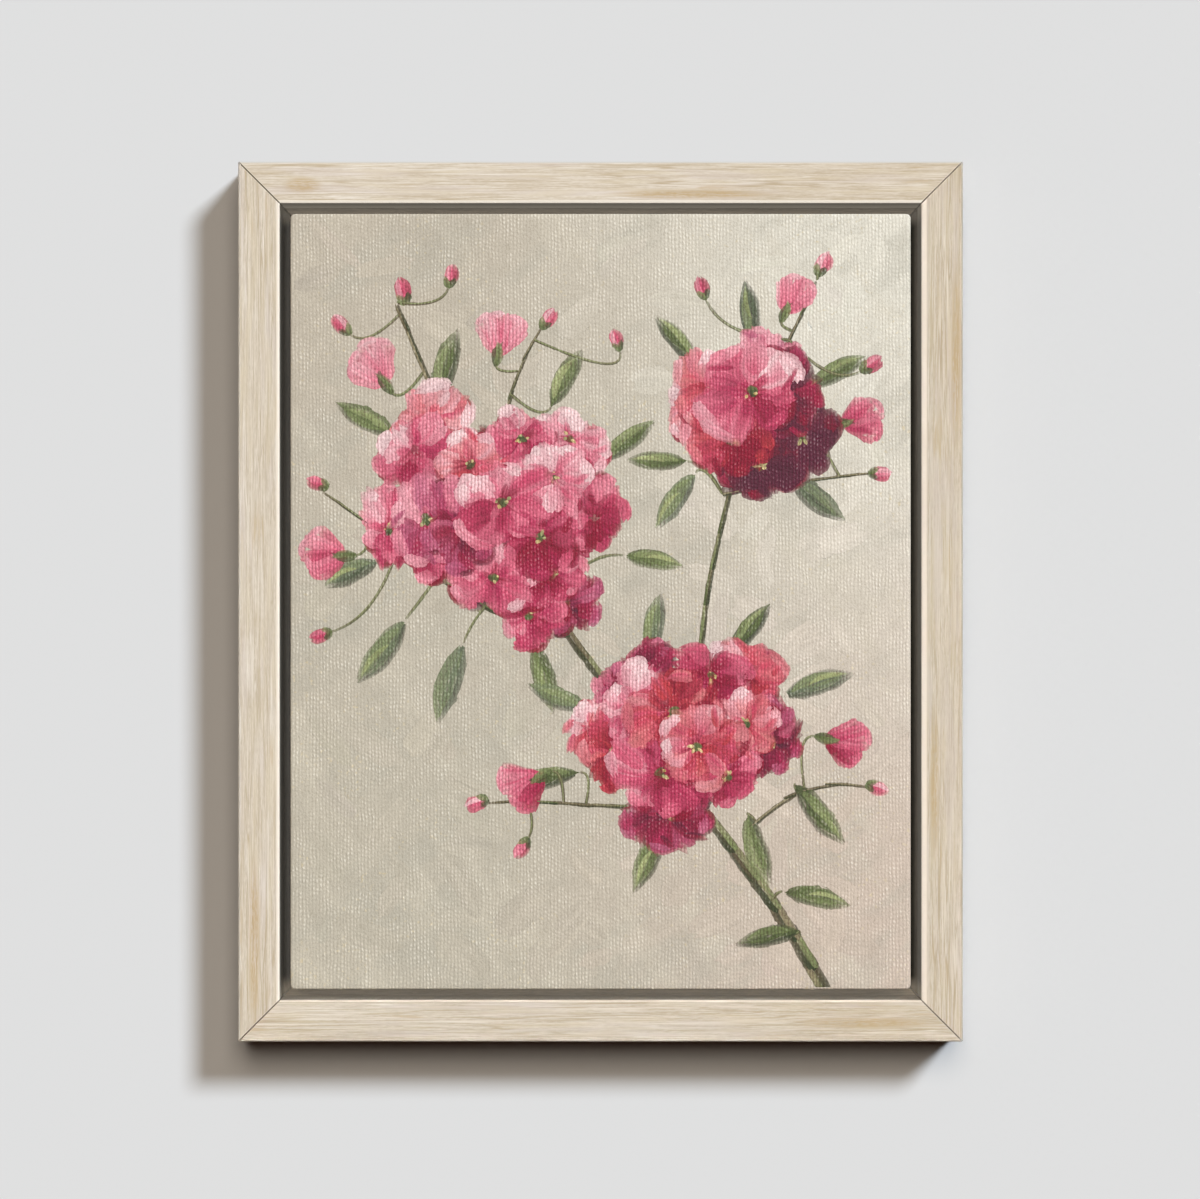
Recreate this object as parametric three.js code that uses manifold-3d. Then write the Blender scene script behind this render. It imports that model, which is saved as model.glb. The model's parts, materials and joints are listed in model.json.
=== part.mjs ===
// A stretched canvas in a whitewashed floater frame, hung on one nail by a sawtooth hanger.
// Millimetres. +Z is up, +X is to the right as the picture is seen, and the picture faces -Y.
// The origin is the flat top of the hanger's middle notch, where the wall nail carries the weight.

import * as THREE from "three";
import { mergeVertices } from "three/addons/utils/BufferGeometryUtils.js";
import Module from "manifold-3d";

const wasm = await Module();
wasm.setup();

// Canvas: a 16 x 20 inch cloth wrap
const CANVAS_W = 406.4;
const CANVAS_H = 508;
const CANVAS_CORNER = 3; // radius of the wrapped corners, seen from the front
const CANVAS_EDGE = 1; // rounding where the cloth turns over a bar
const CLOTH = 0.6;
const MARGIN = 28; // width of cloth turned over the back

// Frame moulding: an L in section, its ledge behind the canvas
const RAIL_FACE = 27;
const FLOAT_GAP = 6.8; // open channel between the face and the canvas
const RAIL_DEPTH = 44;
const LEDGE_REACH = 21; // how far the ledge stands in from the face
const LEDGE_THICK = 8;
const OUTER_ARRIS = 0.8;
const INNER_ARRIS = 0.9;
const MITRE_GAP = 0.35; // the fine open line in each corner
const RECESS = 4; // the canvas front lies this far behind the frame's face
const STANDOFF = 3; // the frame's back to the wall

// Stretcher bars
const BAR_WIDTH = 38;
const BAR_LIP = 4; // the only strip of the bar's front that the cloth touches
const BAR_LIP_ROUND = 1.2;
const BAR_SLOPE = 3.2; // fall of the bar's front from its lip to its inner edge
const TONGUE = 8; // thickness of the tongue in the bars' corner joints

// Corner keys, wedges in slots across the bars' inner edges
const KEY_THICK = 3;
const KEY_LENGTH = 20;
const KEY_TIP = 4.5;
const KEY_HEEL = 13.5;
const KEY_SEAT = 6.5; // how deep a key sits in its bar
const KEY_FROM_CORNER = 3;

// Staples
const STAPLE_CROWN = 10.6;
const STAPLE_WIRE = 0.9;
const STAPLE_THICK = 0.5;
const STAPLE_LEG = 8;
const STAPLE_FROM_EDGE = 21; // from the canvas's outer edge
const STAPLES_ACROSS = 4;
const STAPLES_UPRIGHT = 6;

// Countersunk screws through the ledge into the bars
const SCREW_LENGTH = 20;
const SCREW_RADIUS = 1.75;
const SCREW_HEAD_RADIUS = 3.5;
const SCREW_HEAD_DEPTH = 2.3;
const SCREW_POINT = 3;
const SCREW_SUNK = 0.2;
const SCREW_FROM_LEDGE = 7; // from the ledge's free edge
const SCREW_SPREAD = 0.56; // distance between a side's screws, as a share of the canvas's side
const DRIVE_LENGTH = 4;
const DRIVE_WIDTH = 0.9;
const DRIVE_DEPTH = 1.3;

// V-nails across the backs of the frame's mitres
const V_NAIL_WING = 6;
const V_NAIL_THICK = 0.8;
const V_NAIL_DEPTH = 10;
const V_NAIL_SUNK = 0.2;
const V_NAILS_FROM_CORNER = [7, 17];

// Sawtooth hanger and its nails
const HANGER_FROM_TOP = 20; // notch below the frame's top edge
const HANGER_HALF = 22.5;
const HANGER_THICK = 0.9;
const HANGER_RISE = 1.4; // room for the nail's head behind the toothed strip
const HANGER_TOP = 7; // strip's upper edge above the notches
const TAB_LOW = -0.5;
const TAB_HIGH = 5.5;
const JOGGLE_OUT = 14.5;
const JOGGLE_IN = 13.1;
const TOOTH_PITCH = 3;
const TOOTH_DEPTH = 2;
const NOTCH_TOP_HALF = 0.7;
const NOTCH_MOUTH_HALF = 1.25;
const NOTCHES_EACH_WAY = 3;
const NAIL_FROM_END = 4;
const NAIL_RADIUS = 0.8;
const NAIL_HEAD_RADIUS = 2.2;
const NAIL_HEAD_THICK = 0.8;
const NAIL_LENGTH = 9;
const NAIL_POINT = 1.6;

// Rubber bumpers
const BUMPER_RADIUS = 5;
const BUMPER_ROUND = 0.7;
const BUMPER_FROM_EDGE = 13;

// Fits
const SLIP = 0.3; // clearance round a piece in its slot or hole
const SEAT = 0.1; // air under a piece that lies flat on another
const THROUGH = 1; // how far a cutting tool runs past the face that it opens

// Facets
const ARC_STEPS = 3;
const EDGE_STEPS = 3;
const SCREW_SIDES = 12;
const NAIL_SIDES = 12;
const BUMPER_SIDES = 28;

// Levels along Y, from the wall at 0 to the front, before the part is moved to its origin
const BACK = -STANDOFF;
const LEDGE_FRONT = BACK - LEDGE_THICK;
const FACE = BACK - RAIL_DEPTH;
const CANVAS_FRONT = FACE + RECESS;
const CANVAS_BACK = LEDGE_FRONT - SLIP;
const BAR_FRONT = CANVAS_FRONT + CLOTH + SLIP;
const BAR_BACK = CANVAS_BACK - CLOTH - SLIP;
const BAR_MIDDLE = (BAR_FRONT + BAR_BACK) / 2;

// Distances inwards from the frame's outer edge
const CANVAS_IN = RAIL_FACE + FLOAT_GAP;
const LEDGE_IN = RAIL_FACE + LEDGE_REACH;
const BAR_IN = CANVAS_IN + CLOTH + SLIP;
const BAR_OUT = BAR_IN + BAR_WIDTH;
const FRAME_W = CANVAS_W + 2 * CANVAS_IN;
const FRAME_H = CANVAS_H + 2 * CANVAS_IN;

const MATERIALS = {
  whitewash: new THREE.MeshStandardMaterial({ color: 0xd8cbb5, roughness: 0.72, metalness: 0 }),
  pine: new THREE.MeshStandardMaterial({ color: 0xd9b988, roughness: 0.78, metalness: 0 }),
  canvas: new THREE.MeshStandardMaterial({ color: 0xcbbcb0, roughness: 0.85, metalness: 0 }),
  steel: new THREE.MeshStandardMaterial({ color: 0xa9abae, roughness: 0.35, metalness: 1 }),
  zinc: new THREE.MeshStandardMaterial({ color: 0xbcb9ae, roughness: 0.42, metalness: 1 }),
  rubber: new THREE.MeshStandardMaterial({ color: 0x35332f, roughness: 0.85, metalness: 0 }),
};

// Solids for cutting and joining

function solidOf(geometry) {
  const bare = geometry.clone();
  bare.deleteAttribute("normal");
  bare.deleteAttribute("uv");
  const merged = mergeVertices(bare);
  return new wasm.Manifold(
    new wasm.Mesh({
      numProp: 3,
      vertProperties: merged.attributes.position.array,
      triVerts: new Uint32Array(merged.index.array),
    }),
  );
}

function geometryOf(solid) {
  const mesh = solid.getMesh();
  const geometry = new THREE.BufferGeometry();
  geometry.setAttribute("position", new THREE.BufferAttribute(mesh.vertProperties, 3));
  geometry.setIndex(new THREE.BufferAttribute(mesh.triVerts, 1));
  const flat = geometry.toNonIndexed();
  flat.computeVertexNormals();
  return flat;
}

// A box from its [low, high] along X, Y and Z.
function block(x, y, z) {
  const spans = [x, y, z];
  const middles = spans.map(([low, high]) => (low + high) / 2);
  return new THREE.BoxGeometry(...spans.map(([low, high]) => high - low)).translate(...middles);
}

// An outline drawn in X and Z, made into a prism from front to back along Y.
function plate(shape, front, back, bevel = 0) {
  return new THREE.ExtrudeGeometry(shape, {
    depth: back - front - 2 * bevel,
    bevelEnabled: bevel > 0,
    bevelSize: bevel,
    bevelThickness: bevel,
    bevelSegments: EDGE_STEPS,
    curveSegments: ARC_STEPS,
  })
    .rotateX(Math.PI / 2)
    .translate(0, back - bevel, 0);
}

function outline(points) {
  return new THREE.Shape(points.map(([x, y]) => new THREE.Vector2(x, y)));
}

function roundedRectangle(width, height, radius) {
  const [x, y] = [width / 2, height / 2];
  return new THREE.Shape()
    .absarc(x - radius, y - radius, radius, 0, Math.PI / 2)
    .absarc(radius - x, y - radius, radius, Math.PI / 2, Math.PI)
    .absarc(radius - x, radius - y, radius, Math.PI, 1.5 * Math.PI)
    .absarc(x - radius, radius - y, radius, 1.5 * Math.PI, 2 * Math.PI);
}

// A turned piece along Y. Its profile is a list of [radius, y], from the front to the back.
function turned(profile, sides) {
  return new THREE.LatheGeometry(profile.map(([radius, y]) => new THREE.Vector2(radius, y)), sides);
}

// The four sides

// Each side is worked out as the bottom one lies: x along it, and "inwards" from its outer edge.
// Its group then turns it about Y to where it belongs.
function side(name, turn) {
  const upright = name === "left" || name === "right";
  const group = new THREE.Group();
  group.rotation.y = turn;
  return {
    name,
    group,
    frameHalf: (upright ? FRAME_H : FRAME_W) / 2,
    canvasHalf: (upright ? CANVAS_H : CANVAS_W) / 2,
    edge: -(upright ? FRAME_W : FRAME_H) / 2,
    upright,
    staples: upright ? STAPLES_UPRIGHT : STAPLES_ACROSS,
  };
}

const SIDES = [
  side("bottom", 0),
  side("left", Math.PI / 2),
  side("top", Math.PI),
  side("right", -Math.PI / 2),
];

// A bar of one section whose ends are cut back along the 45 degree mitres, less half of the gap.
// The section is drawn in distance inwards and Y; half is where its outer edge would end.
function mitred(section, half, edge, gap) {
  const geometry = new THREE.ExtrudeGeometry(section, { depth: 1, bevelEnabled: false });
  const position = geometry.attributes.position;
  for (let i = 0; i < position.count; i++) {
    const inwards = position.getX(i);
    const reach = half - inwards - gap / Math.SQRT2;
    const end = position.getZ(i) < 0.5 ? 1 : -1;
    position.setXYZ(i, end * reach, position.getY(i), edge + inwards);
  }
  return geometry;
}

function railSection() {
  return outline([
    [OUTER_ARRIS, FACE],
    [RAIL_FACE - INNER_ARRIS, FACE],
    [RAIL_FACE, FACE + INNER_ARRIS],
    [RAIL_FACE, LEDGE_FRONT],
    [LEDGE_IN, LEDGE_FRONT],
    [LEDGE_IN, BACK],
    [0, BACK],
    [0, FACE + OUTER_ARRIS],
  ]);
}

function barSection() {
  return outline([
    [BAR_LIP_ROUND, BAR_FRONT],
    [BAR_LIP, BAR_FRONT],
    [BAR_WIDTH, BAR_FRONT + BAR_SLOPE],
    [BAR_WIDTH, BAR_BACK],
    [0, BAR_BACK],
    [0, BAR_FRONT + BAR_LIP_ROUND],
  ]);
}

// Places along a side

function screwPlaces(s) {
  const x = SCREW_SPREAD * s.canvasHalf;
  const z = s.edge + LEDGE_IN - SCREW_FROM_LEDGE;
  return [-x, x].map((at) => new THREE.Vector3(at, BACK, z));
}

function staplePlaces(s) {
  const pitch = (2 * s.canvasHalf) / s.staples;
  const z = s.edge + CANVAS_IN + STAPLE_FROM_EDGE;
  return Array.from({ length: s.staples }, (_, i) => {
    const x = (i + 0.5) * pitch - s.canvasHalf;
    return new THREE.Vector3(x, CANVAS_BACK + SEAT, z);
  });
}

// Screws

const SCREW_NECK = -SCREW_SUNK - SCREW_HEAD_DEPTH;

function screwGeometry() {
  const body = turned(
    [
      [0, -SCREW_LENGTH],
      [SCREW_RADIUS, SCREW_POINT - SCREW_LENGTH],
      [SCREW_RADIUS, SCREW_NECK],
      [SCREW_HEAD_RADIUS, -SCREW_SUNK],
      [0, -SCREW_SUNK],
    ],
    SCREW_SIDES,
  );
  const long = [-DRIVE_LENGTH / 2, DRIVE_LENGTH / 2];
  const thin = [-DRIVE_WIDTH / 2, DRIVE_WIDTH / 2];
  const deep = [-SCREW_SUNK - DRIVE_DEPTH, THROUGH];
  const cross = solidOf(block(long, deep, thin)).add(solidOf(block(thin, deep, long)));
  return geometryOf(solidOf(body).subtract(cross));
}

function screwHole() {
  return turned(
    [
      [0, -SCREW_LENGTH - SLIP],
      [SCREW_RADIUS + SLIP, SCREW_POINT - SCREW_LENGTH - SLIP],
      [SCREW_RADIUS + SLIP, SCREW_NECK],
      [SCREW_HEAD_RADIUS + SLIP, -SCREW_SUNK],
      [SCREW_HEAD_RADIUS + SLIP, THROUGH],
      [0, THROUGH],
    ],
    SCREW_SIDES,
  );
}

const SCREW = screwGeometry();
const SCREW_HOLE = screwHole();

// Staples

function stapleGeometry() {
  const outer = STAPLE_CROWN / 2;
  const inner = outer - STAPLE_THICK;
  const tip = -STAPLE_LEG;
  const chisel = tip + STAPLE_THICK;
  const shape = outline([
    [-outer, STAPLE_THICK],
    [-outer, tip],
    [-inner, chisel],
    [-inner, 0],
    [inner, 0],
    [inner, chisel],
    [outer, tip],
    [outer, STAPLE_THICK],
  ]);
  return new THREE.ExtrudeGeometry(shape, { depth: STAPLE_WIRE, bevelEnabled: false })
    .translate(0, 0, -STAPLE_WIRE / 2);
}

function stapleHoles() {
  const outer = STAPLE_CROWN / 2 + SLIP;
  const inner = outer - STAPLE_THICK - 2 * SLIP;
  const deep = [-STAPLE_LEG - SLIP, THROUGH];
  const wide = [-STAPLE_WIRE / 2 - SLIP, STAPLE_WIRE / 2 + SLIP];
  return solidOf(block([-outer, -inner], deep, wide)).add(
    solidOf(block([inner, outer], deep, wide)),
  );
}

const STAPLE = stapleGeometry();
const STAPLE_HOLES = geometryOf(stapleHoles());

// V-nails: two wings, one in each rail, that run with the rails' edges

function vNailShape(extra) {
  const [low, thick, far] = [-extra, V_NAIL_THICK + extra, V_NAIL_WING + extra];
  return outline([
    [low, low],
    [far, low],
    [far, thick],
    [thick, thick],
    [thick, far],
    [low, far],
  ]);
}

const V_NAIL = plate(vNailShape(0), -V_NAIL_SUNK - V_NAIL_DEPTH, -V_NAIL_SUNK);
const V_NAIL_SLOT = plate(vNailShape(SLIP), -V_NAIL_SUNK - V_NAIL_DEPTH - SLIP, THROUGH);

// Keys: the straight back of the wedge lies in the slot, its thin end towards the corner

function keyGeometry() {
  const shape = outline([
    [0, 0],
    [KEY_LENGTH, 0],
    [KEY_LENGTH, KEY_HEEL],
    [0, KEY_TIP],
  ]);
  return plate(shape, -KEY_THICK / 2, KEY_THICK / 2);
}

function keyCorner(s, end) {
  const x = s.frameHalf - BAR_OUT - KEY_FROM_CORNER;
  return new THREE.Vector3(end * x, BAR_MIDDLE, s.edge + BAR_OUT - KEY_SEAT);
}

function keySlot(s, end) {
  const at = keyCorner(s, end);
  const near = at.x + end * SLIP;
  const far = at.x - end * (KEY_LENGTH + SLIP);
  const thick = KEY_THICK / 2 + SLIP;
  return block(
    [Math.min(near, far), Math.max(near, far)],
    [at.y - thick, at.y + thick],
    [at.z - SLIP, at.z + KEY_SEAT + THROUGH],
  );
}

const KEY = keyGeometry();

// Frame rails

function railSolid(s) {
  let rail = solidOf(mitred(railSection(), s.frameHalf, s.edge, MITRE_GAP));
  for (const at of screwPlaces(s)) {
    rail = rail.subtract(solidOf(SCREW_HOLE.clone().translate(at.x, at.y, at.z)));
  }
  for (const from of V_NAILS_FROM_CORNER) {
    const left = V_NAIL_SLOT.clone().translate(from - s.frameHalf, BACK, s.edge + from);
    const right = V_NAIL_SLOT.clone()
      .rotateY(-Math.PI / 2)
      .translate(s.frameHalf - from, BACK, s.edge + from);
    rail = rail.subtract(solidOf(left)).subtract(solidOf(right));
  }
  if (s.name === "top") {
    for (const end of [-1, 1]) {
      const at = nailPlace(end);
      const hole = nailHole().translate(
        at.x,
        BACK + SEAT + at.y,
        s.edge + HANGER_FROM_TOP - at.z,
      );
      rail = rail.subtract(solidOf(hole));
    }
  }
  return rail;
}

// Stretcher bars: the tongues of the bars across go into the slots of the upright ones

function tongue(s, end) {
  const corner = s.frameHalf - BAR_IN;
  const [near, far, overlap] = [2 * SLIP, BAR_WIDTH - 2 * SLIP, 2];
  const points = [
    [near, near],
    [near + overlap, near],
    [far + overlap, far],
    [near, far],
  ].map(([back, inwards]) => [end * (corner - back), s.edge + BAR_IN + inwards]);
  return plate(outline(points), BAR_MIDDLE - TONGUE / 2, BAR_MIDDLE + TONGUE / 2);
}

function tongueSlot(s, end) {
  const outer = s.frameHalf - BAR_IN + THROUGH;
  const inner = s.frameHalf - BAR_OUT + SLIP;
  const thick = TONGUE / 2 + SLIP;
  return block(
    end > 0 ? [inner, outer] : [-outer, -inner],
    [BAR_MIDDLE - thick, BAR_MIDDLE + thick],
    [s.edge + BAR_IN - THROUGH, s.edge + BAR_OUT + THROUGH],
  );
}

function barSolid(s) {
  const barHalf = s.frameHalf - BAR_IN;
  let bar = solidOf(mitred(barSection(), barHalf, s.edge + BAR_IN, SLIP));
  for (const end of [-1, 1]) {
    bar = s.upright
      ? bar.subtract(solidOf(tongueSlot(s, end)))
      : bar.add(solidOf(tongue(s, end)));
    bar = bar.subtract(solidOf(keySlot(s, end)));
  }
  const corner = CANVAS_CORNER - CLOTH - SLIP;
  const round = roundedRectangle(2 * barHalf, -2 * (s.edge + BAR_IN), corner);
  bar = bar.intersect(solidOf(plate(round, BAR_FRONT - THROUGH, BAR_BACK + THROUGH)));
  for (const at of screwPlaces(s)) {
    bar = bar.subtract(solidOf(SCREW_HOLE.clone().translate(at.x, at.y, at.z)));
  }
  for (const at of staplePlaces(s)) {
    bar = bar.subtract(solidOf(STAPLE_HOLES.clone().translate(at.x, at.y, at.z)));
  }
  return bar;
}

// Canvas: one cloth over the front and sides, its margin turned over the bars' backs

function wrap(inset) {
  const shape = roundedRectangle(
    CANVAS_W - 2 * CANVAS_EDGE,
    CANVAS_H - 2 * CANVAS_EDGE,
    CANVAS_CORNER - CANVAS_EDGE,
  );
  return solidOf(plate(shape, CANVAS_FRONT + inset, CANVAS_BACK - inset, CANVAS_EDGE - inset));
}

function canvasSolid() {
  const [x, z] = [CANVAS_W / 2 - MARGIN, CANVAS_H / 2 - MARGIN];
  const opening = block([-x, x], [CANVAS_BACK - CLOTH - THROUGH, CANVAS_BACK + THROUGH], [-z, z]);
  let canvas = wrap(0).subtract(wrap(CLOTH)).subtract(solidOf(opening));
  for (const s of SIDES) {
    const holes = [
      ...staplePlaces(s).map((at) => STAPLE_HOLES.clone().translate(at.x, at.y, at.z)),
      ...screwPlaces(s).map((at) => SCREW_HOLE.clone().translate(at.x, at.y, at.z)),
    ];
    for (const hole of holes) {
      canvas = canvas.subtract(solidOf(hole.rotateY(s.group.rotation.y)));
    }
  }
  return canvas;
}

// Hanger

function nailGeometry() {
  const top = SEAT + NAIL_HEAD_THICK;
  return turned(
    [
      [0, -NAIL_LENGTH],
      [NAIL_RADIUS, NAIL_POINT - NAIL_LENGTH],
      [NAIL_RADIUS, SEAT],
      [NAIL_HEAD_RADIUS, SEAT],
      [NAIL_HEAD_RADIUS - NAIL_HEAD_THICK / 2, top],
      [0, top],
    ],
    NAIL_SIDES,
  );
}

// The hole is deep enough for a nail whose head bears on the hanger's tab.
function nailHole() {
  return turned(
    [
      [0, -NAIL_LENGTH - SLIP],
      [NAIL_RADIUS + SLIP, -NAIL_LENGTH - SLIP],
      [NAIL_RADIUS + SLIP, THROUGH],
      [0, THROUGH],
    ],
    NAIL_SIDES,
  );
}

// Where a nail's head bears on its tab, from the middle notch at the strip's back.
function nailPlace(end) {
  return new THREE.Vector3(
    end * (HANGER_HALF - NAIL_FROM_END),
    HANGER_THICK,
    (TAB_LOW + TAB_HIGH) / 2,
  );
}

function hangerOutline() {
  const teeth = [];
  for (let i = -NOTCHES_EACH_WAY; i <= NOTCHES_EACH_WAY; i++) {
    const middle = i * TOOTH_PITCH;
    teeth.push(
      [middle - NOTCH_MOUTH_HALF, -TOOTH_DEPTH],
      [middle - NOTCH_TOP_HALF, 0],
      [middle + NOTCH_TOP_HALF, 0],
      [middle + NOTCH_MOUTH_HALF, -TOOTH_DEPTH],
    );
  }
  const radius = (TAB_HIGH - TAB_LOW) / 2;
  const tabEnd = HANGER_HALF - radius;
  const step = TAB_LOW + TOOTH_DEPTH;
  const shape = outline(teeth);
  shape.lineTo(JOGGLE_IN - step, -TOOTH_DEPTH);
  shape.lineTo(JOGGLE_IN, TAB_LOW);
  shape.absarc(tabEnd, TAB_LOW + radius, radius, -Math.PI / 2, Math.PI / 2);
  shape.lineTo(JOGGLE_IN, TAB_HIGH);
  shape.lineTo(JOGGLE_IN - step, HANGER_TOP);
  shape.lineTo(step - JOGGLE_IN, HANGER_TOP);
  shape.lineTo(-JOGGLE_IN, TAB_HIGH);
  shape.absarc(-tabEnd, TAB_LOW + radius, radius, Math.PI / 2, 1.5 * Math.PI);
  shape.lineTo(-JOGGLE_IN, TAB_LOW);
  shape.lineTo(step - JOGGLE_IN, -TOOTH_DEPTH);
  return shape;
}

// The strip seen from above: flat tabs on the wood, the toothed middle stood off it.
function hangerStrip() {
  const low = [
    [-HANGER_HALF - THROUGH, 0],
    [-JOGGLE_OUT, 0],
    [-JOGGLE_IN, HANGER_RISE],
    [JOGGLE_IN, HANGER_RISE],
    [JOGGLE_OUT, 0],
    [HANGER_HALF + THROUGH, 0],
  ];
  const high = low.map(([x, y]) => [x, y + HANGER_THICK]).reverse();
  const tall = HANGER_TOP + TOOTH_DEPTH + 2 * THROUGH;
  return new THREE.ExtrudeGeometry(outline([...low, ...high]), {
    depth: tall,
    bevelEnabled: false,
  }).translate(0, 0, -TOOTH_DEPTH - THROUGH);
}

function hangerSolid() {
  const flat = plate(hangerOutline(), -THROUGH, HANGER_RISE + HANGER_THICK + THROUGH);
  let hanger = solidOf(hangerStrip()).intersect(solidOf(flat));
  for (const end of [-1, 1]) {
    const at = nailPlace(end);
    hanger = hanger.subtract(solidOf(nailHole().translate(at.x, at.y, at.z)));
  }
  return hanger;
}

// Bumpers

function bumperGeometry() {
  const tall = STANDOFF - SEAT;
  return turned(
    [
      [0, 0],
      [BUMPER_RADIUS, 0],
      [BUMPER_RADIUS, tall - BUMPER_ROUND],
      [BUMPER_RADIUS - 0.3 * BUMPER_ROUND, tall - 0.3 * BUMPER_ROUND],
      [BUMPER_RADIUS - BUMPER_ROUND, tall],
      [0, tall],
    ],
    BUMPER_SIDES,
  );
}

// Assembly

function place(parent, name, geometry, material, at = new THREE.Vector3(), turn = 0) {
  const mesh = new THREE.Mesh(geometry, material);
  mesh.name = name;
  mesh.position.copy(at);
  mesh.rotation.y = turn;
  parent.add(mesh);
}

const picture = new THREE.Group();

for (const s of SIDES) {
  picture.add(s.group);
  place(s.group, `frame_rail_${s.name}`, geometryOf(railSolid(s)), MATERIALS.whitewash);
  place(s.group, `stretcher_bar_${s.name}`, geometryOf(barSolid(s)), MATERIALS.pine);

  // A key is alike on both faces, so half a turn about Z makes the one for the other end.
  const start = keyCorner(s, -1);
  place(s.group, `corner_key_${s.name}_1`, KEY, MATERIALS.pine, start);
  const mirrored = KEY.clone().rotateZ(Math.PI);
  place(s.group, `corner_key_${s.name}_2`, mirrored, MATERIALS.pine, keyCorner(s, 1));

  screwPlaces(s).forEach((at, i) => {
    place(s.group, `screw_${s.name}_${i + 1}`, SCREW, MATERIALS.steel, at);
  });
  staplePlaces(s).forEach((at, i) => {
    place(s.group, `staple_${s.name}_${i + 1}`, STAPLE, MATERIALS.steel, at);
  });
  V_NAILS_FROM_CORNER.forEach((from, i) => {
    const at = new THREE.Vector3(from - s.frameHalf, BACK, s.edge + from);
    place(s.group, `v_nail_${s.name}_${i + 1}`, V_NAIL, MATERIALS.steel, at);
  });
}

place(picture, "canvas", geometryOf(canvasSolid()), MATERIALS.canvas);

const notch = new THREE.Vector3(0, BACK + SEAT, FRAME_H / 2 - HANGER_FROM_TOP);
place(picture, "sawtooth_hanger", geometryOf(hangerSolid()), MATERIALS.zinc, notch);

[-1, 1].forEach((end, i) => {
  const nail = nailPlace(end).add(notch);
  place(picture, `hanger_nail_${i + 1}`, nailGeometry(), MATERIALS.steel, nail);

  const foot = new THREE.Vector3(
    end * (FRAME_W / 2 - BUMPER_FROM_EDGE),
    BACK + SEAT,
    BUMPER_FROM_EDGE - FRAME_H / 2,
  );
  place(picture, `bumper_${i + 1}`, bumperGeometry(), MATERIALS.rubber, foot);
});

// The notch's flat top, at the middle of the strip's thickness, comes to the origin.
picture.position.set(0, -(notch.y + HANGER_RISE + HANGER_THICK / 2), -notch.z);

export default picture;
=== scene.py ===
"""The looks of a stretched canvas in a whitewashed floater frame, hung on a pale wall.

Metres, in the part's own frame: the picture faces -Y, the wall is at +Y and +Z is up.
"""

import json
import math

import bpy
import numpy as np
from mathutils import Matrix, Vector

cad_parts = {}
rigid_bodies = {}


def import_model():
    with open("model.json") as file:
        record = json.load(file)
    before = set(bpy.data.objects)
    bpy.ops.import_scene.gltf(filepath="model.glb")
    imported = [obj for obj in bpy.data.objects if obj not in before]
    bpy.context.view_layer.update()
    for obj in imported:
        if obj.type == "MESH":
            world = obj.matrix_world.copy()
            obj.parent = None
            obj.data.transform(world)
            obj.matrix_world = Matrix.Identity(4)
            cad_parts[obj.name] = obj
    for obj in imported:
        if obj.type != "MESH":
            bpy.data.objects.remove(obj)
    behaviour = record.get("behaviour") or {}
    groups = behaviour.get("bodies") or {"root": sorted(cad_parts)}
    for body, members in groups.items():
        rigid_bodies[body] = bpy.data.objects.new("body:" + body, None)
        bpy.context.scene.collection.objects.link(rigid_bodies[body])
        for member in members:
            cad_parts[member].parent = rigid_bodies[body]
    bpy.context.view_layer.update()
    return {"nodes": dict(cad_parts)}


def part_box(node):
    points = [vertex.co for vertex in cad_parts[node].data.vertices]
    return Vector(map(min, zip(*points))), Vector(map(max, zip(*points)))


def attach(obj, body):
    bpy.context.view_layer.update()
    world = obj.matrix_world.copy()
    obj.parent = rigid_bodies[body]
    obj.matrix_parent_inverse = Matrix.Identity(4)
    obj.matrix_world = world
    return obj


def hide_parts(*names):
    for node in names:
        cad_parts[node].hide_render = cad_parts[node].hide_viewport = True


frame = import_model()
nodes = frame["nodes"]
scene = bpy.context.scene

MM = 0.001
TURN = 2 * math.pi
SIDES = ("bottom", "left", "top", "right")
UPRIGHT = ("left", "right")
BODY = "root"

# Levels and sizes, read from the model
rail_low, rail_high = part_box("frame_rail_left")
canvas_low, canvas_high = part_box("canvas")
WALL_GAP = 0.00005
FACE_Y = rail_low.y
RAIL_DEPTH = rail_high.y - FACE_Y
CLOTH_FRONT_Y = canvas_low.y
BAR_BACK_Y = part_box("stretcher_bar_left")[1].y
WALL_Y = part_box("bumper_1")[1].y + WALL_GAP
CENTRE_Z = (canvas_low.z + canvas_high.z) / 2
HALF_W = canvas_high.x
HALF_H = (canvas_high.z - canvas_low.z) / 2

# Frame moulding
RAIL_FACE = 0.027
OPEN_HALF_W = -rail_low.x - RAIL_FACE
OPEN_HALF_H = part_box("frame_rail_top")[1].z - CENTRE_Z - RAIL_FACE
ARRIS = 0.0009
LEDGE_DEPTH = 0.036
LEDGE_EDGE = -0.021  # the ledge's inner edge, counted as the rail's face is from the opening

# Light: how bright the wall looks, and the shares of its light
WALL_ALBEDO = 0.8
WALL_TONE = 224
KEY_SHARE = (0.59, 0.646, 0.703)
FILL_SHARE = (0.393, 0.348, 0.294)
AMBIENT = (0.012, 0.004, 0.0012, 1.0)
RAIL_SHARE = 0.3  # what a weak lamp of its own adds to each rail of the frame


def linear(value):
    """A display tone from 0 to 255 as linear light."""
    value /= 255
    return value / 12.92 if value <= 0.04045 else ((value + 0.055) / 1.055) ** 2.4


def lit(red, green, blue, extra=0.0):
    """The albedo that shows these display tones in the wall's light and an extra share of it."""
    scale = WALL_ALBEDO / linear(WALL_TONE) / (1 + extra)
    return tuple(linear(v) * scale for v in (red, green, blue)) + (1.0,)


def wood(red, green, blue):
    """The albedo of a rail's finish that shows these display tones."""
    return lit(red, green, blue, RAIL_SHARE)


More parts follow.
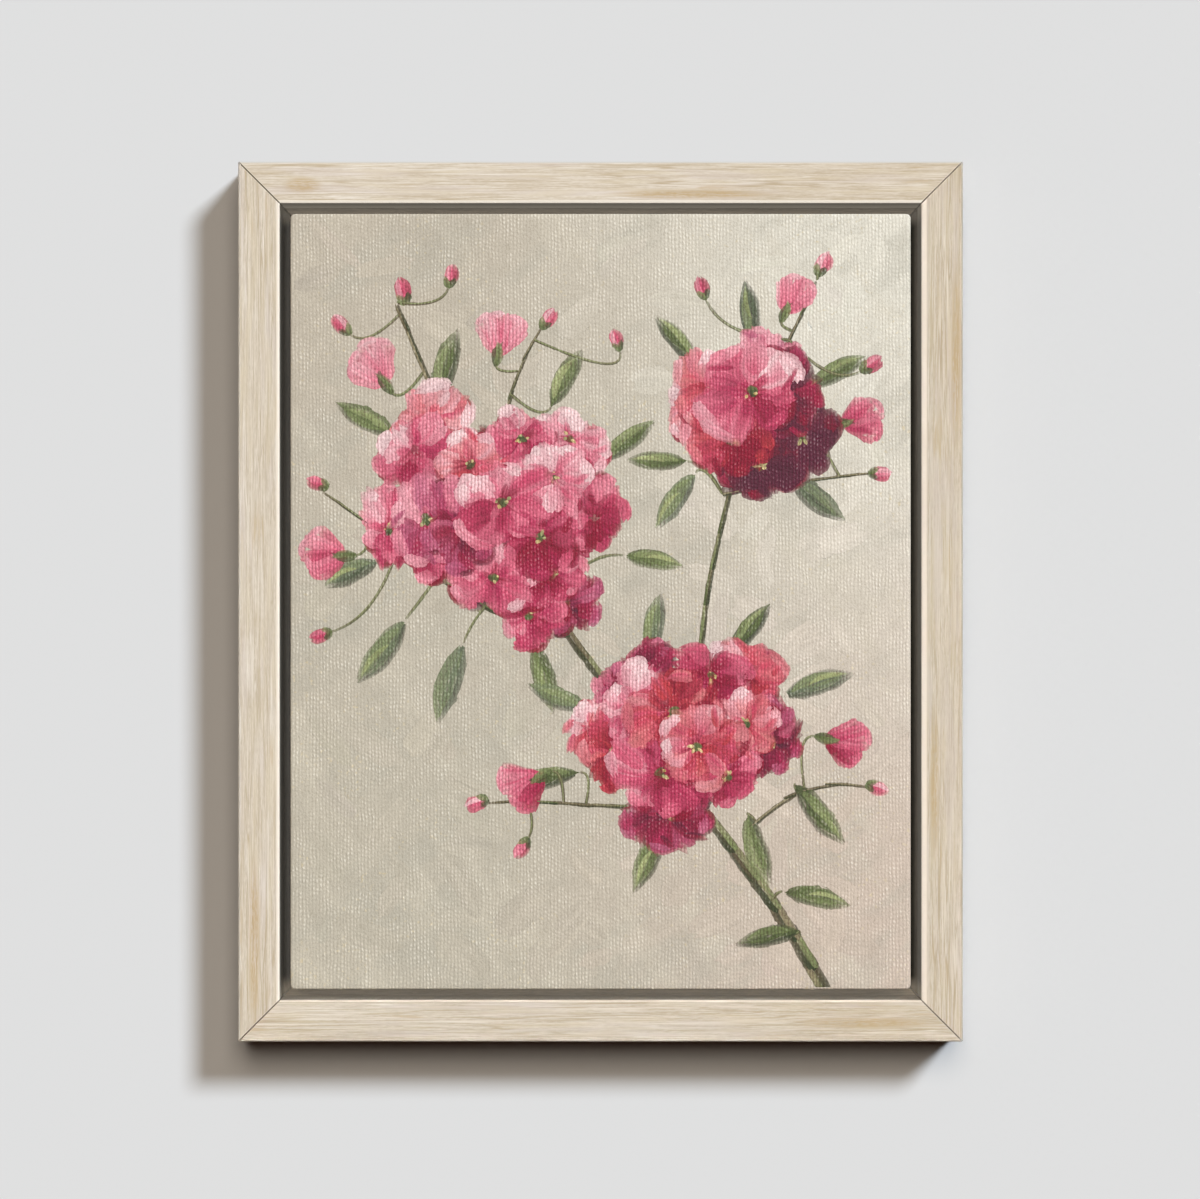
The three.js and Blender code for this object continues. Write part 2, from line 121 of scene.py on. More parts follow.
# Camera: straight at the picture, far enough for its rails' inner sides to show only a little
IMAGE_W = 1200
PIXEL = 0.6541 * MM
FRAME_CENTRE_PX = (600.5, 601.6)
IMAGE_CENTRE_PX = (600.0, 599.5)
DISTANCE = 2.8
SENSOR = 36.0

camera_data = bpy.data.cameras.new("camera")
camera_data.sensor_width = SENSOR
camera_data.lens = SENSOR * DISTANCE / (IMAGE_W * PIXEL)
camera_data.clip_start = 0.1
camera_data.clip_end = 60
camera = bpy.data.objects.new("camera", camera_data)
scene.collection.objects.link(camera)
camera.location = (
    (IMAGE_CENTRE_PX[0] - FRAME_CENTRE_PX[0]) * PIXEL,
    FACE_Y - DISTANCE,
    CENTRE_Z + (FRAME_CENTRE_PX[1] - IMAGE_CENTRE_PX[1]) * PIXEL,
)
camera.rotation_euler = (math.pi / 2, 0, 0)
scene.camera = camera
scene.view_settings.view_transform = "Standard"


def sun(name, direction, share, spread, sampled_twice=True):
    """A far lamp that shines along direction and gives the wall this share of its light, none by reflection.

    A lamp sampled twice is found by rays from the surfaces too, which a lamp seen at grazing angles needs.
    """
    way = Vector(direction).normalized()
    data = bpy.data.lights.new(name, "SUN")
    full = math.pi * linear(WALL_TONE) / WALL_ALBEDO
    strongest = max(share)
    data.color = [v / strongest for v in share]
    data.energy = strongest * full / abs(way.y)
    data.angle = math.radians(spread)
    data.cycles.max_bounces = 0
    data.cycles.use_multiple_importance_sampling = sampled_twice
    obj = bpy.data.objects.new(name, data)
    obj.rotation_mode = "QUATERNION"
    obj.rotation_quaternion = way.to_track_quat("-Z", "Y")
    scene.collection.objects.link(obj)
    return obj


sun("key", (-0.735, 1, -0.74), KEY_SHARE, 13)
sun("fill", (-0.02, 1, -0.4), FILL_SHARE, 32)


class Value:
    """A shader node's output, a number or a vector. Arithmetic on it makes the nodes that compute it."""

    def __init__(self, graph, socket):
        self.graph = graph
        self.socket = socket

    def math(self, operation, other=0.0):
        kind = "VectorMath" if self.socket.type == "VECTOR" else "Math"
        return self.graph.node(kind, {0: self, 1: other}, operation=operation)

    def __add__(self, other):
        return self.math("ADD", other)

    def __sub__(self, other):
        return self.math("SUBTRACT", other)

    def __mul__(self, other):
        return self.math("MULTIPLY", other)

    def __truediv__(self, other):
        return self.math("DIVIDE", other)

    def __abs__(self):
        return self.math("ABSOLUTE")


class Graph:
    """A shader's nodes, made by calls that give back the output they end in."""

    def __init__(self, tree):
        self.tree = tree

    def feed(self, socket, value):
        if isinstance(value, Value):
            self.tree.links.new(value.socket, socket)
        else:
            socket.default_value = value

    def made(self, kind, inputs=None, **settings):
        """A new node with these settings. inputs are values or outputs by an input's name or number."""
        node = self.tree.nodes.new("ShaderNode" + kind)
        for key, value in settings.items():
            setattr(node, key, value)
        for key, value in (inputs or {}).items():
            self.feed(node.inputs[key], value)
        return node

    def node(self, kind, inputs=None, give=0, **settings):
        """The output, by name or number, of a new node."""
        return Value(self, self.made(kind, inputs, **settings).outputs[give])

    def combine(self, x, y, z):
        return self.node("CombineXYZ", {0: x, 1: y, 2: z})

    def split(self, vector):
        return [Value(self, socket) for socket in self.made("SeparateXYZ", {0: vector}).outputs[:3]]

    def place(self):
        """Where the point lies in the part's own frame."""
        return self.node("TexCoord", give="Object")

    def picture_place(self):
        """How far the point lies right of and above the picture's middle."""
        x, _, z = self.split(self.place())
        return x, z - CENTRE_Z

    def noise(self, vector, detail=2.0, rough=0.5):
        inputs = {"Vector": vector, "Scale": 1.0, "Detail": detail, "Roughness": rough}
        return self.node("TexNoise", inputs)

    def cloud(self, scale, detail=2.0, rough=0.5):
        """A noise over the piece, with this many swells to a metre each way."""
        return self.noise(self.place() * scale, detail, rough)

    def range(self, value, low, high, to_low=0.0, to_high=1.0, kind="SMOOTHSTEP"):
        """Turns low to high into to_low to to_high, eased at both ends."""
        inputs = {0: value, 1: low, 2: high, 3: to_low, 4: to_high}
        return self.node("MapRange", inputs, interpolation_type=kind)

    def mix(self, share, a, b, blend="MIX"):
        return self.node("Mix", {0: share, 6: a, 7: b}, give=2, data_type="RGBA", blend_type=blend)

    def tinted(self, colour, tint):
        """A colour times another."""
        return self.mix(1.0, colour, tint, "MULTIPLY")

    def shaded(self, colour, shade):
        """A colour times a number."""
        return self.tinted(colour, self.combine(shade, shade, shade))

    def bump(self, height, distance):
        return self.node("Bump", {"Height": height, "Distance": distance, "Strength": 1.0})


def material(name, build, **sockets):
    """A material with a Principled shader. build(graph) gives its colour, roughness and normal."""
    made = bpy.data.materials.new(name)
    made.use_nodes = True
    graph = Graph(made.node_tree)
    shader = made.node_tree.nodes["Principled BSDF"]
    for key, value in sockets.items():
        shader.inputs[key.replace("_", " ")].default_value = value
    for key, value in zip(("Base Color", "Roughness", "Normal"), build(graph)):
        graph.feed(shader.inputs[key], value)
    return made


# World: pale for the camera, and otherwise almost dark
world = bpy.data.worlds.new("studio")
scene.world = world
world.use_nodes = True
world.node_tree.nodes.clear()
sky = Graph(world.node_tree)
sky_colour = sky.mix(
    sky.node("LightPath", give="Is Camera Ray"),
    AMBIENT,
    (linear(WALL_TONE),) * 3 + (1.0,),
)
sky.made("OutputWorld", {0: sky.node("Background", {"Color": sky_colour, "Strength": 1.0})})


# Stage: the wall and the floor
def plane(name, corners, made):
    """A flat of the stage, which only the camera sees: it throws no light back and no shadow."""
    mesh = bpy.data.meshes.new(name)
    mesh.from_pydata(corners, [], [range(len(corners))])
    mesh.materials.append(made)
    obj = bpy.data.objects.new(name, mesh)
    scene.collection.objects.link(obj)
    obj.visible_diffuse = False
    obj.visible_glossy = False
    obj.visible_shadow = False
    return obj


def stage_material(name, one_sided):
    """Plain pale paint. A one-sided one is clear from behind, so that the back of the object shows."""
    made = bpy.data.materials.new(name)
    made.use_nodes = True
    made.node_tree.nodes.clear()
    graph = Graph(made.node_tree)
    shader = graph.node("BsdfDiffuse", {"Color": (WALL_ALBEDO,) * 3 + (1.0,)})
    if one_sided:
        away = graph.node("NewGeometry", give="Backfacing")
        shader = graph.node("MixShader", {0: away, 1: shader, 2: graph.node("BsdfTransparent")})
    graph.made("OutputMaterial", {0: shader})
    return made


STAGE_REACH = 9.0
FLOOR_Z = CENTRE_Z - 1.35
CORNERS = ((-1, -1), (1, -1), (1, 1), (-1, 1))
wall = plane(
    "wall",
    [(STAGE_REACH * a, WALL_Y, max(STAGE_REACH * b, FLOOR_Z)) for a, b in CORNERS],
    stage_material("wall_paint", True),
)
floor = plane(
    "floor",
    [(STAGE_REACH * a, STAGE_REACH * b, FLOOR_Z) for a, b in CORNERS],
    stage_material("floor_paint", False),
)

# Each rail has a weak lamp that comes in over the canvas and opens up the channel's shade. Nothing but
# the floor shades the rail from it.
RAIL_LAMPS = {"left": (-1.0, 0.0), "right": (1.7, 0.0), "top": (0.0, 2.4), "bottom": (0.0, -1.2)}
for side, (x, z) in RAIL_LAMPS.items():
    lamp = sun("channel_" + side, (x, 1, z), (RAIL_SHARE,) * 3, 5, sampled_twice=False)
    shown = bpy.data.collections.new(lamp.name + "_lights")
    shading = bpy.data.collections.new(lamp.name + "_shading")
    shown.objects.link(nodes["frame_rail_" + side])
    shading.objects.link(floor)
    lamp.light_linking.receiver_collection = shown
    lamp.light_linking.blocker_collection = shading


# Wood
class Grain:
    """Noises drawn out along a piece's grain. Sizes across it and along it are in metres."""

    def __init__(self, graph, upright, shift):
        self.graph = graph
        self.upright = upright
        self.shift = shift

    def place(self, across, along, shift, wander=0.0):
        """Coordinates whose unit is across and along the grain, which may wander by some metres."""
        narrow, wide = 1 / across, 1 / along
        scale = (narrow, narrow, wide) if self.upright else (wide, narrow, narrow)
        away = self.shift + shift
        vector = self.graph.place() * scale + (away, away * 1.7, away * 2.3)
        if wander:
            drift = (self.noise(0.02, 0.09, shift + 3.1, 1.0) - 0.5) * (wander / across)
            vector = vector + self.graph.combine(drift, drift, drift)
        return vector

    def noise(self, across, along, shift, detail=2.0, rough=0.5, wander=0.0):
        return self.graph.noise(self.place(across, along, shift, wander), detail, rough)

    def lines(self, across, along, shift, width):
        """Thin wavy lines, where a noise crosses its middle."""
        value = self.noise(across, along, shift, 1.0, wander=across)
        return self.graph.range(abs(value - 0.5), 0.0, width, 1.0, 0.0)


# The finish of each rail: its grain's place in the noises; the pale stripe along the opening, a painted
# highlight; the outer edge's tone, a painted highlight on the left, top and bottom rails and painted
# shade on the right one; then the channel's paint on the rail's side, on the ledge by the rail and on the
# ledge by the canvas, dark paint in tones, different for each rail, that are partly painted shade and light
RAIL_LOOKS = {
    "left": {
        "shift": 1.3,
        "highlight_band": (0.0021, (252, 240, 224)),
        "edge": (226, 222, 213),
        "channel": ((0.17, 0.157, 0.133), (0.055, 0.05, 0.042), (0.135, 0.13, 0.118)),
    },
    "right": {
        "shift": 5.9,
        "highlight_band": (0.0036, (250, 237, 221)),
        "edge": (196, 187, 172),
        "channel": ((0.22, 0.205, 0.175), (0.19, 0.172, 0.142), (0.03, 0.027, 0.019)),
    },
    "top": {
        "shift": 9.2,
        "highlight_band": (0.0017, (254, 245, 230)),
        "edge": (234, 230, 222),
        "channel": ((0.15, 0.135, 0.11), (0.4, 0.355, 0.285), (0.58, 0.49, 0.38)),
    },
    "bottom": {
        "shift": 14.6,
        "highlight_band": (0.0012, (236, 224, 207)),
        "edge": (243, 234, 219),
        "channel": ((0.36, 0.32, 0.26), (0.42, 0.375, 0.305), (0.5, 0.435, 0.345)),
    },
}
RIGHTWARD_TINT = (0.955, 0.94, 0.915, 1.0)  # how the wash turns darker and yellower towards the right
TOP_RAIL_PALER = (1.03, 1.03, 1.03, 1.0)  # how much paler the top rail is
# Painted light: the paler tone that the uprights' channels take near the corners
PAINTED_CORNER_LIGHT = (0.4, 0.355, 0.285, 1.0)
# Painted shade on the faces of each mitre joint
JOINT_SHADE = (0.05, 0.042, 0.03, 1.0)
# Worn places where the tan wood shows: picture x and z of their middle, then their half sizes, in metres
WORN = {
    "left": [(-0.2265, -0.225, 0.0035, 0.055)],
    "right": [(0.2325, 0.16, 0.003, 0.06), (0.2185, -0.12, 0.003, 0.05)],
    "top": [(-0.195, 0.2725, 0.012, 0.005), (0.06, 0.2665, 0.05, 0.003)],
    "bottom": [(0.175, -0.2755, 0.045, 0.0035)],
}
# Fine lines in the grain: sizes across and along in metres, width, strength and colour
GRAIN_LINES = [
    (0.0021, 0.11, 0.06, 0.85, (242, 233, 220)),
    (0.0013, 0.06, 0.05, 0.7, (240, 230, 216)),
    (0.0031, 0.16, 0.04, 0.75, (190, 170, 140)),
    (0.0017, 0.08, 0.05, 0.65, (192, 174, 147)),
]
# Broad stains: sizes across and along in metres, place in the noises and colour
STAINS = [(0.005, 0.07, 4, (221, 208, 199)), (0.004, 0.05, 7, (221, 206, 178))]


class Rail:
    """The finish of one rail: white wash over tan wood outside, dark taupe and painted light and shade in the
    channel, bare behind.
    """

    def __init__(self, graph, side):
        self.graph = graph
        self.side = side
        self.look = RAIL_LOOKS[side]
        self.grain = Grain(graph, side in UPRIGHT, self.look["shift"])
        self.fine = self.grain.noise(0.0008, 0.03, 0, 4.0, 0.65, wander=0.001)
        self.dash = self.grain.noise(0.0005, 0.004, 2, 1.0)
        mid = self.grain.noise(0.0034, 0.11, 1, wander=0.0015)
        self.tone = self.fine * 0.52 + (mid * 0.2 + self.dash * 0.28)
        self.ragged = (self.fine - 0.5) * 0.0008
        self.x, self.z = graph.picture_place()
        self.depth = graph.split(graph.place())[1] - FACE_Y
        along, half = (self.x, OPEN_HALF_W) if side in UPRIGHT else (self.z, OPEN_HALF_H)
        self.out = along * (1 if side in ("right", "top") else -1) - half

    def colour(self):
        g = self.graph
        raw = self.bare()
        colour = self.rims(self.worn(self.wash()))
        behind = g.range(self.depth + self.ragged, RAIL_DEPTH - 0.0006, RAIL_DEPTH - 0.0002)
        edge = g.range(self.out + self.ragged * 4, RAIL_FACE - 0.003, RAIL_FACE - 0.0016, 1.0, 0.0)
        colour = g.mix(behind * edge, colour, raw)
        colour = self.channel(colour)
        past_paint = g.range(self.out, LEDGE_EDGE - 0.0002, LEDGE_EDGE + 0.0003, 1.0, 0.0)
        past_paint = past_paint * g.range(self.depth, LEDGE_DEPTH + 0.0012, LEDGE_DEPTH + 0.0024)
        return self.mitre(g.mix(past_paint, colour, raw))

    def wash(self):
        """The wash with its streaks, fine lines and stains."""
        g = self.graph
        colour = g.mix(g.range(self.tone, 0.37, 0.63), wood(203, 187, 163), wood(230, 218, 201))
        for across, along, width, share, tone in GRAIN_LINES:
            line = self.grain.lines(across, along, 100 * across, width)
            where = self.grain.noise(4 * across, along, 400 * across, 1.0)
            colour = g.mix(line * g.range(where, 0.4, 0.6, 0.15, share), colour, wood(*tone))
        for across, along, shift, tone in STAINS:
            stain = self.grain.noise(across, along, shift, 1.0)
            colour = g.mix(g.range(stain, 0.5, 0.68, 0.0, 0.4), colour, wood(*tone))
        if self.side == "top":
            colour = g.tinted(colour, TOP_RAIL_PALER)
        return g.mix(g.range(self.x, -0.08, 0.21), colour, RIGHTWARD_TINT, "MULTIPLY")

    def worn(self, colour):
        """Rubs the wash off at chance places and at the worn ones."""
        g = self.graph
        worn = g.range(self.grain.noise(0.005, 0.06, 5), 0.62, 0.72, 0.0, 0.6)
        for x, z, half_x, half_z in WORN[self.side]:
            dx = (self.x - x) / half_x
            dz = (self.z - z) / half_z
            worn = worn.math("MAXIMUM", g.range(dx * dx + dz * dz, 0.0, 1.6, 1.0, 0.0))
        worn = worn * g.range(self.fine * 0.6 + self.dash * 0.4, 0.38, 0.58, 0.2, 1.0)
        return g.mix(worn, colour, wood(199, 173, 134))

    def rims(self, colour):
        """The pale stripe along the opening and the outer edge's tone: painted highlight and painted shade.
        """
        g = self.graph
        # A painted highlight along the opening, its width and tone set rail by rail
        width, tone = self.look["highlight_band"]
        highlight_band = g.range(self.out + self.ragged * 0.6, width * 0.8, width * 1.15, 1.0, 0.0)
        colour = g.mix(highlight_band * 0.9, colour, wood(*tone))
        # The outer edge's tone is painted light: a painted highlight on the left, top and bottom rails,
        # painted shade on the right one
        rim = g.range(self.out + self.ragged * 0.5, RAIL_FACE - 0.0013, RAIL_FACE - 0.0006)
        rim = rim * g.range(self.depth, 0.0005, 0.0016, 1.0, 0.35)
        return g.mix(rim * 0.9, colour, wood(*self.look["edge"]))

    def bare(self):
        """The unpainted wood of the back."""
        g = self.graph
        tone = self.grain.noise(0.0022, 0.09, 8, 3.0, 0.6, wander=0.002)
        colour = g.mix(g.range(tone, 0.33, 0.67), wood(204, 168, 122), wood(224, 194, 152))
        return g.mix(self.grain.lines(0.0016, 0.12, 6, 0.05) * 0.5, colour, wood(180, 140, 94))

    def channel(self, colour):
        """The dark paint on the rail's side and the ledge, its tones partly painted shade and light."""
        g = self.graph
        # Each rail's three tones are partly painted shade and light; down the side the tone turns towards the
        # ledge's with depth
        side_paint_and_shade, rail_paint_and_shade, near_paint_and_shade = (tone + (1.0,) for tone in self.look["channel"])
        side_paint_and_shade = g.mix(g.range(self.depth, 0.0, LEDGE_DEPTH, 0.0, 0.55), side_paint_and_shade, rail_paint_and_shade)
        ledge_paint_and_shade = g.mix(g.range(self.out, -0.0038, 0.001), near_paint_and_shade, rail_paint_and_shade)
        on_ledge = g.range(self.depth, LEDGE_DEPTH - 0.0008, LEDGE_DEPTH - 0.0002)
        paint = g.mix(on_ledge, side_paint_and_shade, ledge_paint_and_shade)
        # On the uprights the channel pales near the corners: painted light
        if self.side in UPRIGHT:
            end = g.range(abs(self.z), OPEN_HALF_H - 0.014, OPEN_HALF_H - 0.003, 0.0, 0.9)
            paint = g.mix(end, paint, PAINTED_CORNER_LIGHT)
        paint = g.shaded(paint, g.range(self.tone, 0.38, 0.62, 0.84, 1.1))
        depth = self.depth + self.ragged
        inside = g.range(self.out + self.ragged * 0.3, 0.0, 0.0003, 1.0, 0.0)
        inside = inside * g.range(depth, ARRIS, ARRIS + 0.0005)
        inside = inside * g.range(depth, LEDGE_DEPTH + 0.0012, LEDGE_DEPTH + 0.0024, 1.0, 0.0)
        return g.mix(inside, colour, paint)

    def mitre(self, colour):
        """The mitre: a pale edge along it, a brown line in it and painted shade on the joint's own faces."""
        g = self.graph
        off = abs((abs(self.x) - OPEN_HALF_W) - (abs(self.z) - OPEN_HALF_H))
        seam = off * 0.7071 + self.ragged * 0.3
        pale = g.range(seam, 0.0005, 0.0012, 0.4, 0.0) * g.range(self.out, 0.0, 0.0008)
        colour = g.mix(pale, colour, wood(234, 225, 209))
        brown = g.range(seam, 0.0003, 0.0006, 0.8, 0.0) * g.range(self.out, 0.0003, 0.0009)
        colour = g.mix(brown, colour, wood(132, 108, 76))
        return g.mix(g.range(off, 0.0003, 0.00042, 0.9, 0.0), colour, JOINT_SHADE)

    def build(self):
        g = self.graph
        outside = g.range(self.out, RAIL_FACE - 0.0005, RAIL_FACE - 0.0001)
        outside = outside * g.range(self.depth, 0.0006, 0.002)
        roughness = g.range(self.tone, 0.35, 0.65, 0.72, 0.5, "LINEAR")
        roughness = roughness.math("MAXIMUM", outside * 0.97)
        return self.colour(), roughness, g.bump(self.fine * 0.7 + self.dash * 0.3, 0.00018)


def whitewashed(side):
    return material("whitewashed_wood_" + side, lambda g: Rail(g, side).build(), Specular_IOR_Level=0.2)


def bare_wood(name, upright, shift, dark, pale, across=0.0024):
    """Planed bare wood, with the grain along the piece."""

    def build(g):
        grain = Grain(g, upright, shift)
        rings = grain.noise(across, 0.13, 0, 3.0, 0.6, wander=0.003)
        pores = grain.noise(0.0005, 0.008, 1, 1.0)
        broad = grain.noise(0.011, 0.2, 2, 1.0)
        tone = rings * 0.6 + (pores * 0.15 + broad * 0.25)
        colour = g.mix(g.range(tone, 0.36, 0.64), lit(*dark), lit(*pale))
        ring = grain.lines(across * 1.3, 0.16, 5, 0.04)
        colour = g.mix(ring * 0.4, colour, lit(*(v * 0.9 for v in dark)))
        relief = rings * 0.5 + pores * 0.5
        return colour, g.range(tone, 0.35, 0.65, 0.7, 0.55), g.bump(relief, 0.00015)

    return material(name, build, Specular_IOR_Level=0.35)


def metal(name, tone, rough, grain):
    """Plated metal, a little uneven in tone and gloss."""

    def build(g):
        speck = g.cloud((1 / (grain * 0.12),) * 3)
        both = g.cloud((1 / grain,) * 3, 3.0, 0.6) * 0.7 + speck * 0.3
        dark = tuple(v * 0.78 for v in tone)
        colour = g.mix(g.range(both, 0.35, 0.65), dark + (1.0,), tone + (1.0,))
        return colour, g.range(both, 0.35, 0.65, rough + 0.1, rough - 0.06), g.bump(speck, 0.00003)

    return material(name, build, Metallic=1.0)


def rubber_build(g):
    """Black rubber, greyed in clouds."""
    grain = g.cloud((2600,) * 3)
    shade = g.range(g.cloud((240,) * 3), 0.35, 0.65)
    colour = g.mix(shade, (0.03, 0.029, 0.028, 1), (0.062, 0.059, 0.055, 1))
    return colour, g.range(grain, 0.3, 0.7, 0.5, 0.72), g.bump(grain, 0.00006)


SHARP = math.radians(40)


def dress(name, made, ease=0.0):
    """Gives a carried-over node its finish, and eases its sharp edges by some metres."""
    obj = nodes[name]
    obj.data.materials.clear()
    obj.data.materials.append(made)
    if ease:
        bevel = obj.modifiers.new("eased", "BEVEL")
        bevel.width = ease
        bevel.segments = 2
        bevel.limit_method = "ANGLE"
        bevel.angle_limit = SHARP


PINE = ((205, 164, 112), (236, 208, 160))
BEECH = ((206, 170, 128), (230, 201, 162), 0.0011)
WAYS = ((True, "upright"), (False, "level"))
pine = {up: bare_wood("pine_" + way, up, 2.2 + up, *PINE) for up, way in WAYS}
beech = {up: bare_wood("key_wood_" + way, up, 7.2 + up, *BEECH) for up, way in WAYS}
steel = metal("plated_steel", (0.62, 0.63, 0.64), 0.3, 0.004)
dull_steel = metal("v_nail_steel", (0.48, 0.49, 0.5), 0.42, 0.003)
zinc = metal("zinc_plate", (0.57, 0.56, 0.53), 0.38, 0.006)
rubber = material("bumper_rubber", rubber_build)
for side in SIDES:
    up = side in UPRIGHT
    dress(f"frame_rail_{side}", whitewashed(side), 0.00014)
    dress(f"stretcher_bar_{side}", pine[up], 0.0005)
    dress(f"corner_key_{side}_1", beech[up], 0.0003)
    dress(f"corner_key_{side}_2", beech[up], 0.0003)
for name in nodes:
    if name.startswith(("screw_", "staple_", "hanger_nail_")):
        dress(name, steel)
    elif name.startswith("v_nail_"):
        dress(name, dull_steel)
    elif name.startswith("bumper_"):
        dress(name, rubber)
dress("sawtooth_hanger", zinc, 0.00015)

# Cloth: its threads stand this far apart
THREAD_ACROSS = 0.00226
THREAD_UP = 0.0029


def weave(g):
    """The height of the woven threads: upright ridges of beads, each as high as chance makes it."""
    x, _, z = g.split(g.place())
    slow = g.place() * (130, 130, 70)
    drift = g.noise(slow, 3.0, 0.6) - 0.5
    other = g.noise(slow + (7.7, 3.3, 5.1), 3.0, 0.6) - 0.5
    column = (x + drift * 0.0031) / THREAD_ACROSS
    number = (column + 0.5).math("FLOOR")
    offset = g.node("TexWhiteNoise", {"W": number}, noise_dimensions="1D")
    row = (z + other * 0.005) / THREAD_UP + offset * 0.8
    bead_number = (row + 0.5).math("FLOOR")
    ridge = (column * TURN).math("COSINE") * 0.5 + 0.5
    bead = (row * TURN).math("COSINE") * 0.5 + 0.5
    chance = g.node("TexWhiteNoise", {"Vector": g.combine(number, bead_number, 0.0)})
    height = ridge * (bead * 0.62 + 0.38) * (chance * 0.6 + 0.4)
    height = height * g.range(g.cloud((75, 75, 50), 4.0, 0.65), 0.34, 0.62, 0.25, 1.3)
    grit = g.cloud((1250, 1250, 950), 2.0, 0.7)
    return height * 0.92 + grit * 0.85


# The painted ground at the canvas's corners, and where in metres it turns from one side's tone to the other's
GROUND_LOW_LEFT = lit(200, 191, 173)
GROUND_LOW_RIGHT = lit(214, 196, 180)
GROUND_HIGH_LEFT = lit(201, 190, 172)
GROUND_HIGH_RIGHT = lit(233, 227, 212)
GROUND_ACROSS = (-0.1, 0.2)
GROUND_UP = (-0.2, 0.2)
GROUND_MIDDLE = lit(201, 193, 176)
# Brushed patches: their slope, swells to a metre, from where they show, and tone
BRUSHED = [
    (0.6, (12, 40, 36), (0.46, 0.7), lit(186, 181, 166)),
    (-0.9, (14, 40, 34), (0.48, 0.72), lit(222, 212, 192)),
]


def ground_colour(g):
    """The painted ground: warm grey, paler at the upper right and pinker at the lower right."""
    x, z = g.picture_place()
    sway = (g.cloud((9, 9, 9), 3.0, 0.55) - 0.5) * 0.16
    right = g.range(x + sway, *GROUND_ACROSS)
    low = g.mix(right, GROUND_LOW_LEFT, GROUND_LOW_RIGHT)
    high = g.mix(right, GROUND_HIGH_LEFT, GROUND_HIGH_RIGHT)
    colour = g.mix(g.range(z + sway, *GROUND_UP), low, high)
    colour = g.mix(g.range(x * x + z * z, 0.0, 0.05, 0.35, 0.0), colour, GROUND_MIDDLE)
    for slope, scale, shown, tone in BRUSHED:
        sloping = g.node("VectorRotate", {0: g.place(), "Angle": slope, "Axis": (0, 1, 0)})
        colour = g.mix(g.range(g.noise(sloping * scale, 3.0, 0.6), *shown, 0.0, 0.4), colour, tone)
    fleck = g.range(g.cloud((330, 330, 420)), 0.6, 0.72) * g.range(g.cloud((30, 30, 30)), 0.45, 0.62)
    return g.mix(fleck * 0.55, colour, lit(226, 208, 168))


def woven(g, height, colour, crown_highlight, pit_shade, strength):
    """A colour on the weave, with painted highlight on its crowns and painted shade in its pits."""
    # Painted light and shade on the threads: multiplied up on the crowns and down in the pits, then the
    # crowns lean to a pale tone and the pits are multiplied by a darker one
    colour = g.shaded(colour, g.range(height, 0.15, 1.15, 1 - strength, 1 + strength, "LINEAR"))
    colour = g.mix(g.range(height, 0.85, 1.5, 0.0, 0.55), colour, crown_highlight)
    return g.mix(g.range(height, 0.2, 0.55, 0.9, 0.0), colour, pit_shade, "MULTIPLY")


# What the weave's pits are multiplied by: painted shade
GROUND_PIT_SHADE = (0.8, 0.78, 0.74, 1.0)
FLOWER_PIT_SHADE = (0.6, 0.4, 0.44, 1.0)
RAW_PIT_SHADE = (0.72, 0.68, 0.6, 1.0)


def ground_build(g):
    """The painted front of the cloth."""
    height = weave(g)
    colour = woven(g, height, ground_colour(g), lit(242, 235, 220), GROUND_PIT_SHADE, 0.13)
    return colour, g.range(height, 0.1, 1.0, 0.72, 0.56), g.bump(height, 0.00026)


def raw_cloth_build(g):
    """Unbleached cloth with dark specks, and painted shade along the fold line where the margin's folds meet
    in each corner.
    """
    height = weave(g)
    slub = g.cloud((900, 900, 160))
    colour = g.mix(g.range(slub, 0.35, 0.7), lit(212, 201, 177), lit(228, 219, 199))
    speck = g.cloud((700, 700, 700), 1.0)
    colour = g.mix(g.range(speck, 0.68, 0.74, 0.0, 0.6), colour, lit(160, 134, 98))
    colour = woven(g, height, colour, lit(244, 238, 224), RAW_PIT_SHADE, 0.16)
    x, z = g.picture_place()
    off = (abs(x) - HALF_W) - (abs(z) - HALF_H) + (slub - 0.5) * 0.0006
    behind = g.range(g.split(g.place())[1], BAR_BACK_Y - 0.002, BAR_BACK_Y - 0.001)
    # Painted shade along the fold line in each corner of the back
    crease_shade = g.range(abs(off), 0.0002, 0.0007, 0.75, 0.0) * behind
    return g.mix(crease_shade, colour, lit(112, 98, 76)), 0.9, g.bump(height, 0.0003)


painted_cloth = material("painted_canvas", ground_build, Specular_IOR_Level=0.3)
raw_cloth = material("raw_canvas", raw_cloth_build, Specular_IOR_Level=0.1)

CLOTH = 0.0005
CORNER = 0.003
LEAST_CORNER = 0.0004
CORNER_STEPS = 8
SIDE_STEPS = (26, 32, 26, 32)  # from one corner to the next
MARGIN = 0.028
MARGIN_LIFT = 0.0006  # how far the margin's face stands behind the bars
MARGIN_ROWS = 5
EDGE_ROUND = 0.001
FOLD_ROUND = 0.0009
FRAY = 0.00022
FRAY_SEED = 12


def corner_loop(half_w, half_h, radius):
    """Points round a rectangle with rounded corners, anticlockwise as the picture is seen."""
    arcs = []
    for quarter, (sx, sz) in enumerate([(1, 1), (-1, 1), (-1, -1), (1, -1)]):
        x, z = sx * (half_w - radius), sz * (half_h - radius)
        turns = [(quarter + step / CORNER_STEPS) * math.pi / 2 for step in range(CORNER_STEPS + 1)]
        arcs.append([(x + radius * math.cos(turn), z + radius * math.sin(turn)) for turn in turns])
    loop = []
    for arc, following, steps in zip(arcs, arcs[1:] + arcs[:1], SIDE_STEPS):
        (x, z), (next_x, next_z) = arc[-1], following[0]
        shares = [step / steps for step in range(1, steps)]
        loop += arc + [(x + (next_x - x) * share, z + (next_z - z) * share) for share in shares]
    return loop


